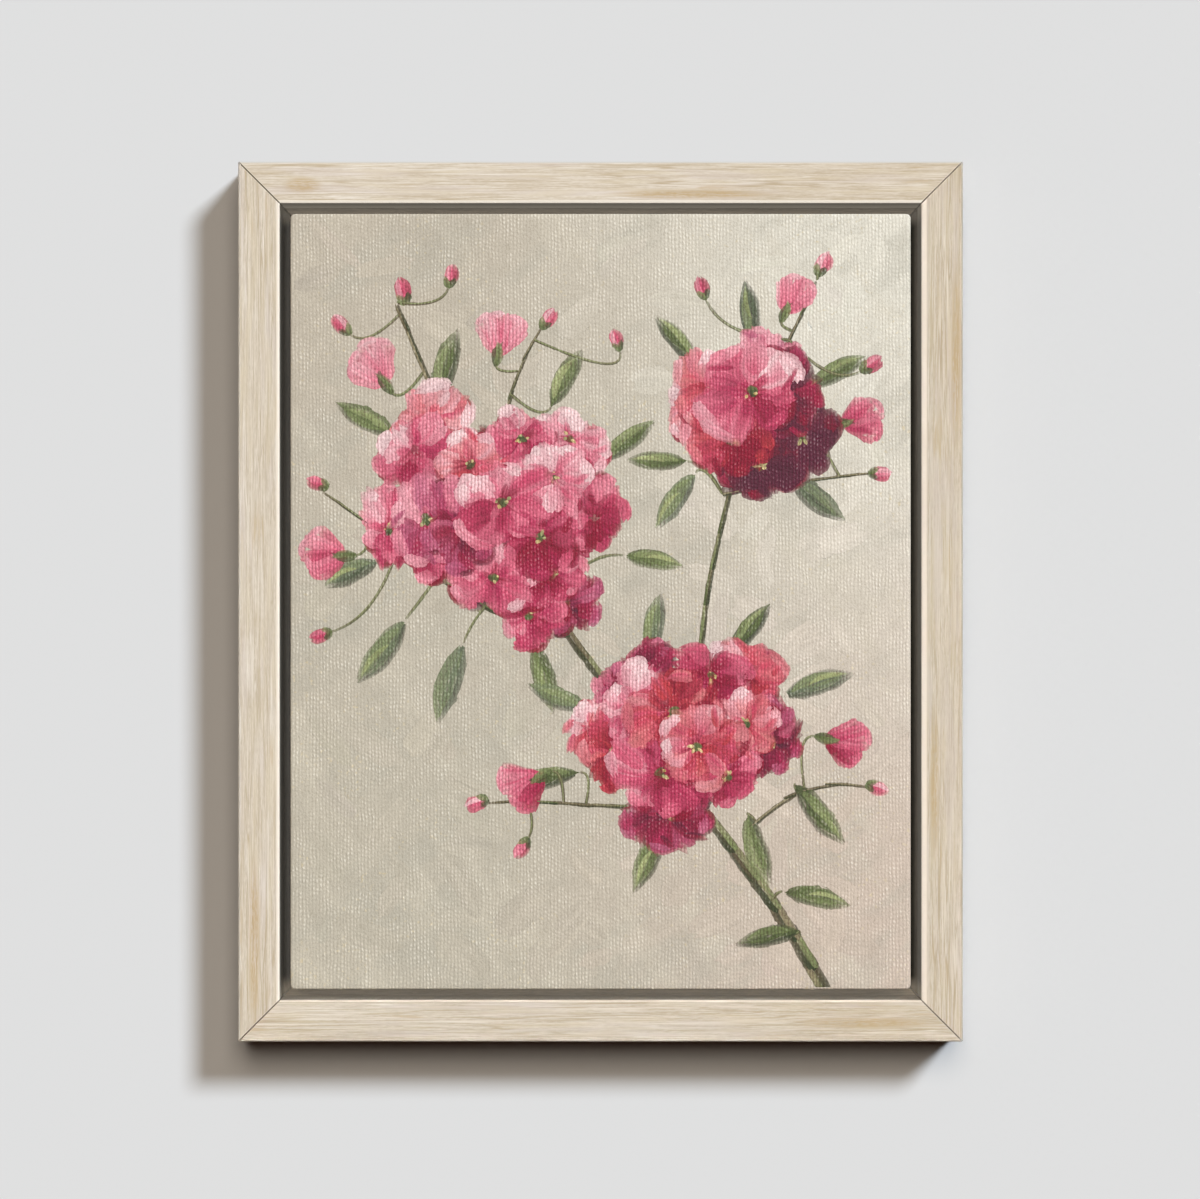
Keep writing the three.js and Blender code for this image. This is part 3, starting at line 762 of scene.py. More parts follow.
def cloth_rows(front, back, inset):
    """Rows of (inset from the cloth's outer edge, depth), from the front's middle to the margin's edge."""
    rows = [(0.012, front), (0.004, front)]
    for turn in np.linspace(0, math.pi / 2, 5):
        sine, cosine = math.sin(turn), math.cos(turn)
        rows.append((inset + (EDGE_ROUND - inset) * (1 - sine), front + (EDGE_ROUND - inset) * (1 - cosine)))
    rows += [(inset, front + 0.007), (inset, front + 0.016), (inset, back - 0.006)]
    fold = FOLD_ROUND - inset * 0.6
    for turn in np.linspace(0, math.pi / 2, 4):
        rows.append((inset + fold * (1 - math.cos(turn)), back - fold * (1 - math.sin(turn))))
    return rows + [(0.008, back), (0.02, back), (MARGIN, back)]


def make_canvas():
    """The cloth: its front, its sides and the margin turned over the bars, as one thin closed skin."""
    back = BAR_BACK_Y + MARGIN_LIFT
    outer = cloth_rows(CLOTH_FRONT_Y, back, 0.0)
    inner = cloth_rows(CLOTH_FRONT_Y + CLOTH, back - CLOTH, CLOTH)
    count = len(corner_loop(HALF_W, HALF_H, CORNER))
    fray = np.random.default_rng(FRAY_SEED).normal(0, FRAY, count)
    vertices, faces, finishes = [], [], []
    for inset, depth in outer + inner[::-1]:
        loop = corner_loop(HALF_W - inset, HALF_H - inset, max(CORNER - inset, LEAST_CORNER))
        for (x, z), shift in zip(loop, fray if inset == MARGIN else np.zeros(count)):
            keep = 1 - shift / math.hypot(x, z)
            vertices.append((x * keep, depth, z * keep + CENTRE_Z))
    rows = len(outer) + len(inner)
    for row in range(rows - 1):
        for k in range(count):
            a, b = row * count + k, row * count + (k + 1) % count
            faces.append((a, b, b + count, a + count))
            finishes.append(0 if row < len(outer) - MARGIN_ROWS else 1)
    faces += [range(count - 1, -1, -1), range((rows - 1) * count, rows * count)]
    finishes += [0, 1]
    mesh = bpy.data.meshes.new("canvas_cloth")
    mesh.from_pydata(vertices, [], faces)
    mesh.materials.append(painted_cloth)
    mesh.materials.append(raw_cloth)
    mesh.polygons.foreach_set("material_index", finishes)
    mesh.polygons.foreach_set("use_smooth", [True] * len(faces))
    mesh.validate()
    obj = bpy.data.objects.new("canvas_cloth", mesh)
    scene.collection.objects.link(obj)
    return obj


canvas = make_canvas()
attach(canvas, BODY)
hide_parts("canvas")

# Brush strokes. Their lengths are in millimetres.
CELL = 0.5  # of canvas to a cell of the maps
STROKE_FLOOR = -0.04  # how far a stroke's underside lies in the cloth
EDGE_KEEP = 1.4  # cloth that strokes keep from the canvas's edge
MOST_RELIEF = 0.7
STATION_STEP = 2.8  # along a stroke, from one row of points to the next
EDGE_SINK = 0.008  # how far a stroke's rim sinks into what it is laid on
RIM_MAP = 0.5  # how wide a stroke's rim is in its map
NEIGHBOURS = 0.4 * np.array([(0, 0), (1, 0), (-1, 0), (0, 1), (0, -1)])


def bezier(points, share):
    """The point at each share, from 0 to 1, of the curve that a few control points pull."""
    share = np.asarray(share, float)[..., None]
    points = [np.asarray(p, float) for p in points]
    while len(points) > 1:
        points = [a + (b - a) * share for a, b in zip(points, points[1:])]
    return points[0]


def smooth(value):
    """A share from 0 to 1, eased at both ends."""
    value = np.clip(value, 0, 1)
    return value * value * (3 - 2 * value)


def finer(count, times):
    """The matrix that fills in a row of numbers, with straight steps between them."""
    fine = np.linspace(0, count - 1, (count - 1) * times + 1)
    low = np.minimum(fine.astype(int), count - 2)
    made = np.zeros((len(fine), count))
    made[np.arange(len(fine)), low] = 1 - (fine - low)
    made[np.arange(len(fine)), low + 1] = fine - low
    return made


def ground_tone(x, z):
    """The ground's colour at places in millimetres, as the cloth has it but for its clouds."""
    (left, right), (low, high) = GROUND_ACROSS, GROUND_UP
    across = smooth((np.asarray(x) * MM - left) / (right - left))[..., None]
    up = smooth((np.asarray(z) * MM - low) / (high - low))[..., None]
    corners = (GROUND_LOW_LEFT, GROUND_LOW_RIGHT, GROUND_HIGH_LEFT, GROUND_HIGH_RIGHT)
    low_left, low_right, high_left, high_right = (np.array(tone[:3]) for tone in corners)
    below = low_left + (low_right - low_left) * across
    above = high_left + (high_right - high_left) * across
    return below + (above - below) * up


class Painting:
    """Brush strokes laid over one another. Places are in millimetres from the canvas's middle."""

    def __init__(self, seed):
        self.random = np.random.default_rng(seed)
        self.half = np.array([HALF_W, HALF_H]) / MM
        cells = (self.half * 2 / CELL).astype(int) + 3
        self.relief = np.zeros(cells)
        x, z = (np.arange(count) * CELL - half for count, half in zip(cells, self.half))
        self.wet = ground_tone(*np.meshgrid(x, z, indexing="ij"))
        self.pieces = {}
        self.wood = []
        self.count = 0

    def cell(self, places):
        """The maps' cells at places on the canvas."""
        index = ((places + self.half) / CELL + 0.5).astype(int)
        index = np.clip(index, 0, np.array(self.relief.shape) - 1)
        return index[..., 0], index[..., 1]

    def under(self, places):
        """The height of the paint already there, the highest within half a millimetre or so."""
        return np.max([self.relief[self.cell(places + shift)] for shift in NEIGHBOURS], axis=0)

    def stroke(
        self,
        piece,
        path,
        width,
        colour,
        second=None,
        load=0.05,
        start=0.7,
        end=0.55,
        ragged=1.0,
        pick=0.3,
        soft=None,
    ):
        """One stroke along path, which turns to a second colour.

        load is how thick the paint lies, start and end are shares of the width at the stroke's ends, pick
        is how much wet paint it takes up, and soft how much it blends into that at its rims.
        """
        colour = np.asarray(colour, float)[:3]
        second = colour * 1.12 if second is None else np.asarray(second, float)[:3]
        reach = bezier(path, np.linspace(0, 1, 9))
        length = max(np.linalg.norm(np.diff(reach, axis=0), axis=1).sum(), 1.0)
        lines = 5 if width < 3.2 else 6 if width < 6.5 else 7
        across = np.linspace(-1, 1, lines)
        share, half = self.spread(across, width, length, start, end, ragged)
        centre = bezier(path, share)
        way = bezier(path, share + 0.02) - bezier(path, share - 0.02)
        way /= np.linalg.norm(way, axis=-1, keepdims=True) + 1e-9
        left = np.stack([-way[..., 1], way[..., 0]], axis=-1)
        places = centre + left * (across * half)[..., None]
        places = np.clip(places, -self.half + EDGE_KEEP, self.half - EDGE_KEEP)
        top = self.heights(places, share, across, load)
        tones = self.tones(places, share, across, colour, second, pick, soft)
        self.record(places, top, tones, width)
        brush = np.stack([share * length, across * half, np.full(share.shape, self.count * 1.37)], axis=-1)
        self.keep(piece, places, top, tones, brush, width)
        self.count += 1

    def spread(self, across, width, length, start, end, ragged):
        """The share of the path and half the width at each point: rounded, waving and ragged."""
        random, lines = self.random, len(across)
        stations = int(np.clip(length / STATION_STEP, 3, 12)) + 2
        cap = 0.42 * (1 - np.sqrt(1 - 0.97 * across**2))
        first = (cap + ragged * random.uniform(-0.08, 0.12, lines)) * width / length
        last = 1 - (cap * 0.8 + ragged * random.uniform(-0.12, 0.22, lines)) * width / length
        share = first + (last - first) * np.linspace(0, 1, stations)[:, None]
        half = width / 2 * (start + (1 - start) * smooth(share / 0.3))
        half = half * (end + (1 - end) * smooth((1 - share) / 0.4))
        waves = np.sin(share * random.uniform(4, 10) + random.uniform(0, 6)) * across
        rough = random.normal(0, 1, share.shape) * np.abs(across) ** 3 * (0.03 + 0.06 / width) * ragged
        return share, half * (1 + 0.08 * waves + rough)

    def heights(self, places, share, across, load):
        """The paint's height: ridges of bristles, thicker at the stroke's end, on what lies there."""
        base = self.under(places)
        eased = base.copy()
        eased[1:-1] = np.maximum(base[1:-1], (base[:-2] + base[2:]) / 2)
        bristle = self.random.uniform(0.6, 1.15, len(across))
        body = 0.25 * load * bristle * (1 - 0.25 * across**4)
        body = body * (1 + 0.7 * np.exp(-(((1 - share) / 0.12) ** 2)))
        body[:, (0, -1)] = -EDGE_SINK
        body[(0, -1), :] = -EDGE_SINK
        return np.minimum(eased + body, MOST_RELIEF)

    def tones(self, places, share, across, colour, second, pick, soft):
        """The paint's colour, mixed with the wet paint below most where the stroke ends and at its rims."""
        random, lines = self.random, len(across)
        blend = 0.75 * share + 0.1 + random.normal(0, 0.22, lines)
        blend = blend + 0.12 * np.sin(share * 5 + random.uniform(0, 6))
        tones = colour + (second - colour) * np.clip(blend, 0, 1)[..., None]
        tones = tones * (1 + random.normal(0, 0.03, (1, lines, 1)))
        taken = pick * (0.4 + 0.6 * smooth((share - 0.6) / 0.4)) * random.uniform(0.4, 1.4, lines)
        if soft is None:
            soft = random.choice([0.8, 0.4, 0.05], p=[0.25, 0.35, 0.4])
        edge = np.clip((np.abs(across) - 0.4) / 0.6, 0, 1) ** 1.4
        edge = edge * np.where(across * random.choice([-1, 1]) > 0, 1.0, 0.45)
        taken = taken + soft * np.maximum(edge, smooth((share - 0.75) / 0.25) * 0.8)
        return tones + (self.wet[self.cell(places)] - tones) * np.clip(taken, 0, 0.97)[..., None]

    def record(self, places, top, tones, width):
        """Lays the stroke on the maps of the paint's height and colour."""
        stations, lines = top.shape
        rows = finer(stations, 5)
        columns = finer(lines, max(int(np.ceil(width / (lines - 1) / CELL)), 2)).T
        dense = np.stack([rows @ places[..., k] @ columns for k in (0, 1)], axis=-1)
        index = self.cell(dense)
        np.maximum.at(self.relief, index, rows @ top @ columns)
        self.wet[index] = np.stack([rows @ tones[..., k] @ columns for k in range(3)], axis=-1)

    def keep(self, piece, places, top, tones, brush, width):
        """Adds a stroke's closed skin to its piece."""
        if piece not in self.pieces:
            keys = ("co", "rgb", "brush", "faces", "smooth", "uv", "boxes")
            self.pieces[piece] = {"at": 0, **{key: [] for key in keys}}
        made = self.pieces[piece]
        n, m = top.shape
        ring = [(i, 0) for i in range(n)] + [(n - 1, j) for j in range(1, m)]
        ring += [(i, m - 1) for i in range(n - 2, -1, -1)] + [(0, j) for j in range(m - 2, 0, -1)]
        low = {spot: n * m + k for k, spot in enumerate(ring)}
        row, column = np.array(ring).T
        upper = np.column_stack([places.reshape(-1, 2), top.reshape(-1)])
        lower = np.column_stack([places[row, column], np.full(len(ring), STROKE_FLOOR)])
        grid = np.stack(np.broadcast_arrays(brush[..., 0], np.linspace(0, 1, m) * width), axis=-1)
        skirt = [(at == last) * 1.0 - (at == 0) for at, last in ((row, n - 1), (column, m - 1))]
        uv = np.concatenate([grid.reshape(-1, 2), grid[row, column] + np.transpose(skirt) * RIM_MAP])
        under_uv = uv * (1, 0.5 / width) - (0, 1.4)
        corners = []

        def face(ids, table, is_top):
            """Adds a face, with its corners' places in the stroke's map."""
            made["faces"].append([made["at"] + k for k in ids])
            made["smooth"].append(is_top)
            corners.extend(table[k] for k in ids)

        for i in range(n - 1):
            for j in range(m - 1):
                a = i * m + j
                face((a, a + m, a + m + 1, a + 1), uv, True)
        for spot, after in zip(ring, ring[1:] + ring[:1]):
            here, there = (i * m + j for i, j in (spot, after))
            face((here, low[spot], low[after], there), uv, False)
        face([low[0, j] for j in range(m)] + [low[1, m - 1], low[1, 0]], under_uv, False)
        for i in range(1, n - 2):
            face((low[i, 0], low[i, m - 1], low[i + 1, m - 1], low[i + 1, 0]), under_uv, False)
        far_end = [low[n - 1, j] for j in range(m - 1, -1, -1)]
        face([low[n - 2, 0], low[n - 2, m - 1]] + far_end, under_uv, False)

        corners = np.array(corners)
        made["uv"].append(corners - corners.min(0))
        made["boxes"].append(np.ptp(corners, axis=0) + 0.5)
        made["co"].append(np.concatenate([upper, lower]))
        for key, values in (("rgb", tones), ("brush", brush)):
            made[key].append(np.concatenate([values.reshape(-1, 3), values[row, column]]))
        made["at"] += n * m + len(ring)

    def build(self, piece, finish):
        """Makes the piece's mesh object."""
        made = self.pieces[piece]
        x, z, height = np.concatenate(made["co"]).T * MM
        mesh = bpy.data.meshes.new(piece)
        places = np.column_stack([x, CLOTH_FRONT_Y - height, z + CENTRE_Z])
        mesh.from_pydata(places.tolist(), [], made["faces"])
        rgb = np.concatenate(made["rgb"])
        tones = np.column_stack([rgb, np.ones(len(rgb))])
        mesh.attributes.new("paint", "FLOAT_COLOR", "POINT").data.foreach_set("color", tones.ravel())
        brush = np.concatenate(made["brush"])
        mesh.attributes.new("brush", "FLOAT_VECTOR", "POINT").data.foreach_set("vector", brush.ravel())
        mesh.uv_layers.new(name="OFBake").data.foreach_set("uv", self.packed(made).ravel())
        is_smooth = np.array(made["smooth"])
        mesh.polygons.foreach_set("use_smooth", is_smooth)
        mesh.edges.foreach_set("use_edge_sharp", self.rims(mesh, is_smooth))
        mesh.materials.append(finish)
        mesh.update()
        obj = bpy.data.objects.new(piece, mesh)
        scene.collection.objects.link(obj)
        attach(obj, BODY)

    @staticmethod
    def rims(mesh, is_smooth):
        """Which edges part a stroke's smooth top from its flat rim, so that the top is shaded on its own."""
        edge = np.empty(len(mesh.loops), np.int32)
        mesh.loops.foreach_get("edge_index", edge)
        sizes = np.empty(len(mesh.polygons), np.int32)
        mesh.polygons.foreach_get("loop_total", sizes)
        tops = np.bincount(edge[np.repeat(is_smooth, sizes)], minlength=len(mesh.edges))
        return tops == 1

    @staticmethod
    def packed(made):
        """Lays the strokes' maps out in shelves on one square."""
        boxes = np.array(made["boxes"])
        width = math.sqrt((boxes[:, 0] * boxes[:, 1]).sum() * 1.08)
        corner = np.zeros((len(boxes), 2))
        x = y = shelf = 0.0
        for k in np.argsort(-boxes[:, 1]):
            if x + boxes[k, 0] > width:
                x, y, shelf = 0.0, y + shelf, 0.0
            corner[k] = (x, y)
            x += boxes[k, 0]
            shelf = max(shelf, boxes[k, 1])
        side = max(width, y + shelf)
        return np.concatenate([uv + spot + 0.2 for uv, spot in zip(made["uv"], corner)]) / side


def paint_material(name, pit_shade, strength, reach, level):
    """Oil paint: the stroke's own colour, streaked by the bristles, over the cloth's weave."""

    def build(g):
        height = weave(g)
        brush = g.node("Attribute", give="Vector", attribute_name="brush")
        hairs = g.noise(brush * (0.06, 1.1, 1.0), 3.0, 0.6)
        coarse = g.noise(brush * (0.04, 0.4, 1.0))
        colour = g.node("Attribute", give="Color", attribute_name="paint")
        # The crowns lean to a paler tone of the stroke's colour: a painted highlight
        colour = woven(g, height, colour, g.mix(0.3, colour, lit(255, 240, 236)), pit_shade, strength)
        streaks = g.range(hairs * 0.6 + coarse * 0.4, 0.3, 0.7, 1 - reach, 1 + reach, "LINEAR")
        colour = g.shaded(colour, streaks)
        return colour, g.range(hairs, 0.3, 0.7, 0.62, 0.46), g.bump(height + hairs * 0.15, 0.00024)

    return material(name, build, Specular_IOR_Level=level)


flower_paint = paint_material("flower_paint", FLOWER_PIT_SHADE, 0.4, 0.14, 0.35)
ground_paint = paint_material("ground_paint", GROUND_PIT_SHADE, 0.13, 0.05, 0.3)

# The painter's colours, as they look in the light
CRIMSON = lit(144, 16, 48)
PLUM = lit(92, 32, 54)
MAGENTA = lit(176, 38, 82)
ROSE = lit(211, 78, 110)
PINK = lit(227, 122, 143)
PALE = lit(241, 170, 180)
BLUSH = lit(247, 212, 212)
MAUVE = lit(186, 98, 128)
CORAL = lit(202, 64, 72)
SALMON = lit(226, 130, 130)
DEEP_GREEN = lit(58, 68, 42)
OLIVE = lit(94, 106, 60)
SAGE = lit(136, 147, 96)
LIME = lit(176, 182, 126)
GREY_GREEN = lit(112, 122, 98)
OCHRE = lit(192, 158, 92)
STRAW = lit(224, 204, 146)
BARK = lit(98, 86, 60)
BARK_PALE = lit(152, 140, 108)

# From dark to light
COOL = [CRIMSON, MAGENTA, ROSE, PINK, PALE, BLUSH]
WARM = [CRIMSON, CORAL, ROSE, SALMON, PALE, BLUSH]
DUSKY = [PLUM, CRIMSON, MAGENTA, MAUVE, PINK, PALE]
GREENS = [DEEP_GREEN, OLIVE, SAGE, LIME]
COLD_GREENS = [DEEP_GREEN, GREY_GREEN, SAGE, LIME]
SHADOWS = [CRIMSON, PLUM, MAGENTA, DEEP_GREEN, CRIMSON, ROSE]
LIGHT_FROM = np.array([-0.5, 0.86])


def ramp(colours, level):
    """The colour at a level from 0, the darkest, to 1."""
    spot = np.clip(level, 0, 1) * (len(colours) - 1)
    low = min(int(spot), len(colours) - 2)
    a, b = np.array(colours[low][:3]), np.array(colours[low + 1][:3])
    return a + (b - a) * (spot - low)


def turned(angle):
    """The unit vector at an angle."""
    return np.array([math.cos(angle), math.sin(angle)])


def lit_side(way):
    """The direction across a way that faces the light."""
    side_way = np.array([-way[1], way[0]])
    return -side_way if side_way @ LIGHT_FROM < 0 else side_way


class Flower:
    """Where a flower's own points, in shares of its radius, lie on the canvas."""

    def __init__(self, x, z, radius, tilt=0.0, squash=1.0):
        self.centre = np.array([x, z], float)
        self.radius = radius
        self.squash = squash
        self.axis = turned(tilt)
        self.other = np.array([-self.axis[1], self.axis[0]])

    def at(self, angle, distance):
        """The place at an angle and a share of the radius."""
        point = turned(angle) * distance
        across = self.axis * (point @ self.axis * self.squash)
        return self.centre + self.radius * (across + self.other * (point @ self.other))


# Places along a petal's rim, as its side from -1 to 1 and its share of the radius
PETAL_RIM = [(-0.9, 0.7), (-0.4, 1.08), (0.4, 1.08), (0.9, 0.7)]


def petal(art, piece, flower, tones, level, aim, size, spread):
    """One petal: dark broad strokes from the heart, paler ones over them and touches along its rim."""
    random = art.random
    radius = flower.radius
    facing = float(turned(aim) @ LIGHT_FROM)
    bright = level + 0.15 * facing + random.normal(0, 0.08)
    lean = random.normal(0, 0.14)
    wave = random.uniform(0, TURN)

    def spot(side, share):
        """The place on the petal at a side from -1 to 1 and a share of the way to its rim."""
        rim = size * (1 - 0.14 * side * side) * (1 + 0.05 * math.sin(side * 4 + wave))
        swing = side * spread * min(1.0, 0.4 + 0.7 * share) + lean * share
        return flower.at(aim + swing, rim * share)

    def sweep(side, near, far, width, tone, rise, load, **more):
        """A stroke outwards along one side of the petal."""
        path = [spot(side * 0.7, near), spot(side * 1.05, (near + far) / 2), spot(side * 0.95, far)]
        art.stroke(piece, path, width * radius, ramp(tones, tone), ramp(tones, tone + rise), load, **more)

    shade = [spot(side, share) - LIGHT_FROM * 2 for side, share in PETAL_RIM]
    if art.relief[art.cell(bezier(shade, 0.5))] > 0:
        art.stroke(piece, shade, 0.24 * radius, ramp(tones, level - 0.55), CRIMSON, 0.04, soft=0.6)
    for side in (-0.55, 0.55):
        sweep(side, 0.08, 0.96, 0.6, bright - 0.34, 0.22, 0.05, start=0.4, end=0.85, soft=0.45)
    for side in random.permutation([-0.6, 0.0, 0.6]):
        tone = bright - 0.2 - 0.1 * side * math.copysign(1, facing) + random.normal(0, 0.08)
        near, far = random.uniform(0.14, 0.32), random.uniform(0.88, 1.04)
        width, rise = random.uniform(0.36, 0.5), random.uniform(0.2, 0.36)
        sweep(side, near, far, width, tone, rise, 0.06, start=0.5, end=0.85)
    for _ in range(random.integers(1, 3)):
        side = random.uniform(-0.55, 0.3)
        far = random.uniform(0.84, 1.0)
        path = [spot(side - 0.4, far * 0.95), spot(side, far * 1.02), spot(side + 0.5, far * 0.93)]
        tone = bright + random.uniform(0.1, 0.36)
        width = random.uniform(0.2, 0.32) * radius
        second = ramp(tones, tone - 0.15)
        art.stroke(piece, path, width, ramp(tones, tone), second, 0.12, ragged=1.8, soft=0.35)
    if random.random() < 0.4:
        side = random.choice([-1.0, 1.0])
        far = random.uniform(0.5, 0.8)
        sweep(side, 0.16, far, 0.2, level - 0.45, 0.2, 0.05, start=0.6, end=0.4, soft=0.75)


def blossom(art, piece, flower, tones, level):
    """An open flower of broad loose petals round a dark throat."""
    random = art.random
    petals = random.choice([4, 5, 5, 6])
    turn = random.uniform(0, TURN)
    spread = 0.5 * TURN / petals * 1.1
    throat = [flower.at(turn, 0.3), flower.at(turn + math.pi, 0.3)]
    art.stroke(piece, throat, 0.5 * flower.radius, ramp(tones, level - 0.5), CRIMSON, 0.04, soft=0.5)
    for number in random.permutation(petals):
        aim = turn + number * TURN / petals + random.normal(0, 0.16)
        size = random.uniform(0.74, 1.12)
        petal(art, piece, flower, tones, level + random.normal(0, 0.07), aim, size, spread)
    for _ in range(5):
        aim = random.uniform(0, TURN)
        path = [flower.at(aim, 0.06), flower.at(aim + random.normal(0, 0.3), random.uniform(0.26, 0.5))]
        tone, second = ramp(tones, level - 0.6), ramp(tones, level - 0.1)
        width = random.uniform(0.1, 0.18) * flower.radius
        art.stroke(piece, path, width, tone, second, 0.05, end=0.25, soft=0.7)


def heart(art, piece, flower):
    """The flower's eye: a dark green hollow with a few dabs of yellow."""
    random = art.random
    radius = flower.radius
    for _ in range(3):
        aim = random.uniform(0, TURN)
        path = [flower.at(aim, 0.13), flower.at(aim + 2.6, 0.11)]
        tone = [DEEP_GREEN, OLIVE, CRIMSON][random.integers(0, 3)]
        art.stroke(piece, path, random.uniform(0.1, 0.16) * radius, tone, OLIVE, 0.05, soft=0.6)
    for _ in range(random.integers(2, 5)):
        aim = random.uniform(0, TURN)
        path = [flower.at(aim, random.uniform(0.03, 0.1)), flower.at(aim + 0.2, random.uniform(0.12, 0.22))]
        tone = [OCHRE, STRAW, LIME, SAGE][random.integers(0, 4)]
        art.stroke(piece, path, random.uniform(0.05, 0.08) * radius, tone, STRAW, 0.09, ragged=0.5, soft=0.1)


def side_flower(art, piece, flower, tones, level, aim):
    """A half-open flower seen from its side: petals lean out of a green cup."""
    random = art.random
    radius = flower.radius
    foot = aim + math.pi
    for lean in (-0.75, 0.8, -0.3, 0.4):
        way = aim + lean + random.normal(0, 0.12)
        bright = level + 0.16 * float(turned(way) @ LIGHT_FROM) - 0.12 * abs(lean)
        tip = random.uniform(0.85, 1.12)
        for side in (-0.26, 0.26):
            path = [flower.at(foot, 0.5), flower.at(way + side * 1.8, 0.4), flower.at(way + side, tip)]
            tone = bright - 0.12 + random.normal(0, 0.08)
            width = random.uniform(0.42, 0.56) * radius
            second = ramp(tones, tone + 0.3)
            art.stroke(piece, path, width, ramp(tones, tone), second, 0.05, start=0.35, end=0.8)
        path = [flower.at(way - 0.3, tip * 0.9), flower.at(way, tip), flower.at(way + 0.4, tip * 0.88)]
        tone, second = ramp(tones, bright + 0.3), ramp(tones, bright + 0.1)
        art.stroke(piece, path, 0.26 * radius, tone, second, 0.08, soft=0.5)
    for lean in (-0.4, 0.4):
        path = [flower.at(foot, 0.82), flower.at(foot + lean, 0.4), flower.at(aim + lean * 3, 0.1)]
        art.stroke(piece, path, 0.26 * radius, OLIVE, DEEP_GREEN if lean < 0 else SAGE, 0.06, end=0.35)


def bud(art, piece, x, z, size, aim, tones, level):
    """A closed bud: a drop of a few strokes in a green cup."""
    random = art.random
    base, way = np.array([x, z], float), turned(aim)
    side_way = lit_side(way)
    for side, tone, thick in ((-0.22, -0.25, 0.62), (0.12, 0.0, 0.56), (0.2, 0.28, 0.26)):
        path = [base - way * size * 0.45, base + side_way * side * size * 1.4, base + way * size * 0.6]
        tone = level + tone + random.normal(0, 0.05)
        second = ramp(tones, tone + 0.2)
        art.stroke(piece, path, size * thick, ramp(tones, tone), second, 0.05, start=0.5, end=0.4)
    for side in (-0.3, 0.3):
        path = [base - way * size * 0.7, base - way * size * 0.1 + side_way * side * size]
        art.stroke(piece, path, size * 0.34, OLIVE, SAGE if side > 0 else DEEP_GREEN, 0.06, end=0.35)


def leaf(art, piece, x, z, length, width, aim, bend, tones):
    """A pointed leaf in a few long strokes, pale on its lit half."""
    random = art.random
    way = turned(aim)
    side_way = lit_side(way)
    start = np.array([x, z], float)
    spine = [start, start + way * length * 0.5 + side_way * bend, start + way * length]
    mood = random.normal(0, 0.1)

    def blade(side, near, far, thick, tone, load, **more):
        """A stroke along the leaf, from one share of its spine to another."""
        path = [bezier(spine, share) for share in (near, (near + far) / 2, far)]
        path[1] = path[1] + side_way * side * width
        colour, second = ramp(tones, tone + mood), ramp(tones, tone + mood + random.uniform(0.1, 0.3))
        art.stroke(piece, path, width * thick, colour, second, load, start=0.35, end=0.25, **more)

    blade(-0.34, 0.0, 1.0, 0.58, 0.06 + random.normal(0, 0.05), 0.045, soft=0.7)
    blade(0.3, 0.0, 0.97, 0.62, 0.26 + random.normal(0, 0.06), 0.045)
    blade(-0.3, 0.2, 0.85, 0.3, 0.28 + random.normal(0, 0.08), 0.05, soft=0.9)
    blade(0.42, 0.1, 0.8, 0.36, 0.5 + random.normal(0, 0.08), 0.06)
    if random.random() < 0.6:
        blade(0.3, 0.35, 0.9, 0.2, 0.8 + random.normal(0, 0.1), 0.07, soft=0.6)


BOUGH_STEP = 24


def bough(art, piece, points, thick, thin):
    """A woody stem in overlapping strokes, pale on its lit side."""
    random = art.random
    points = [np.array(p, float) for p in points]
    line = bezier(points, np.linspace(0, 1, 60))
    art.wood.append(line)
    reach = np.linalg.norm(np.diff(line, axis=0), axis=1).sum()
    steps = max(int(reach / BOUGH_STEP), 2)
    for step in range(steps):
        near, far = step / steps, min((step + 1.6) / steps, 1.0)
        width = thick + (thin - thick) * (near + far) / 2
        path = [bezier(points, share) + random.normal(0, 0.3, 2) for share in (near, (near + far) / 2, far)]
        way = path[2] - path[0]
        side_way = lit_side(way) / np.linalg.norm(way)
        art.stroke(piece, path, width, DEEP_GREEN, BARK, 0.05, start=0.9, end=0.85, pick=0.1, soft=0.3)
        shine = [p + side_way * width * 0.2 for p in path]
        tone = [BARK, OLIVE, BARK_PALE, SAGE][random.integers(0, 4)]
        art.stroke(piece, shine, width * 0.5, tone, BARK_PALE, 0.05, start=0.8, end=0.5, soft=0.7)


SHORTEST_STALK = 3


def stalk(art, piece, foot, aim):
    """A thin stalk from the nearest wood to the foot of a bud, a flower or a leaf."""
    random = art.random
    wood_line = np.concatenate(art.wood)
    away = np.linalg.norm(wood_line - foot, axis=1)
    behind = (wood_line - foot) @ turned(aim)
    start = wood_line[np.argmin(away + 0.7 * np.maximum(behind, 0))]
    reach = np.linalg.norm(start - foot)
    if reach < SHORTEST_STALK:
        return
    bend = foot - turned(aim) * reach * 0.45
    path = [start, bend, foot]
    width = random.uniform(2.2, 2.8)
    art.stroke(piece, path, width, BARK, OLIVE, 0.05, start=0.9, end=0.8, ragged=0.3, soft=0.3)
    shine = [p + LIGHT_FROM * 0.4 for p in path]
    art.stroke(piece, shine, 1.1, SAGE, BARK_PALE, 0.05, end=0.6, ragged=0.3, soft=0.5)


# The design: an arching bough with three crowds of round pink blossoms. Places and lengths are in
# millimetres from the canvas's middle, angles in degrees.
# x, z, the crowd's reach both ways, how many flowers it has and how light they are
CROWDS = [
    (96, 126, 48, 54, 8, 0.5),
    (-68, 56, 84, 86, 17, 0.56),
    (56, -88, 78, 62, 13, 0.46),
]
# x, z, radius, the way it opens, lightness
HALF_OPEN = [
    (-146, 150, 21, 125, 0.5),
    (-66, 170, 20, 80, 0.56),
    (-176, 30, 20, 180, 0.46),
    (166, 118, 19, 10, 0.5),
    (156, -92, 20, -15, 0.45),
    (-46, -118, 20, 205, 0.45),
    (124, 196, 18, 65, 0.5),
]
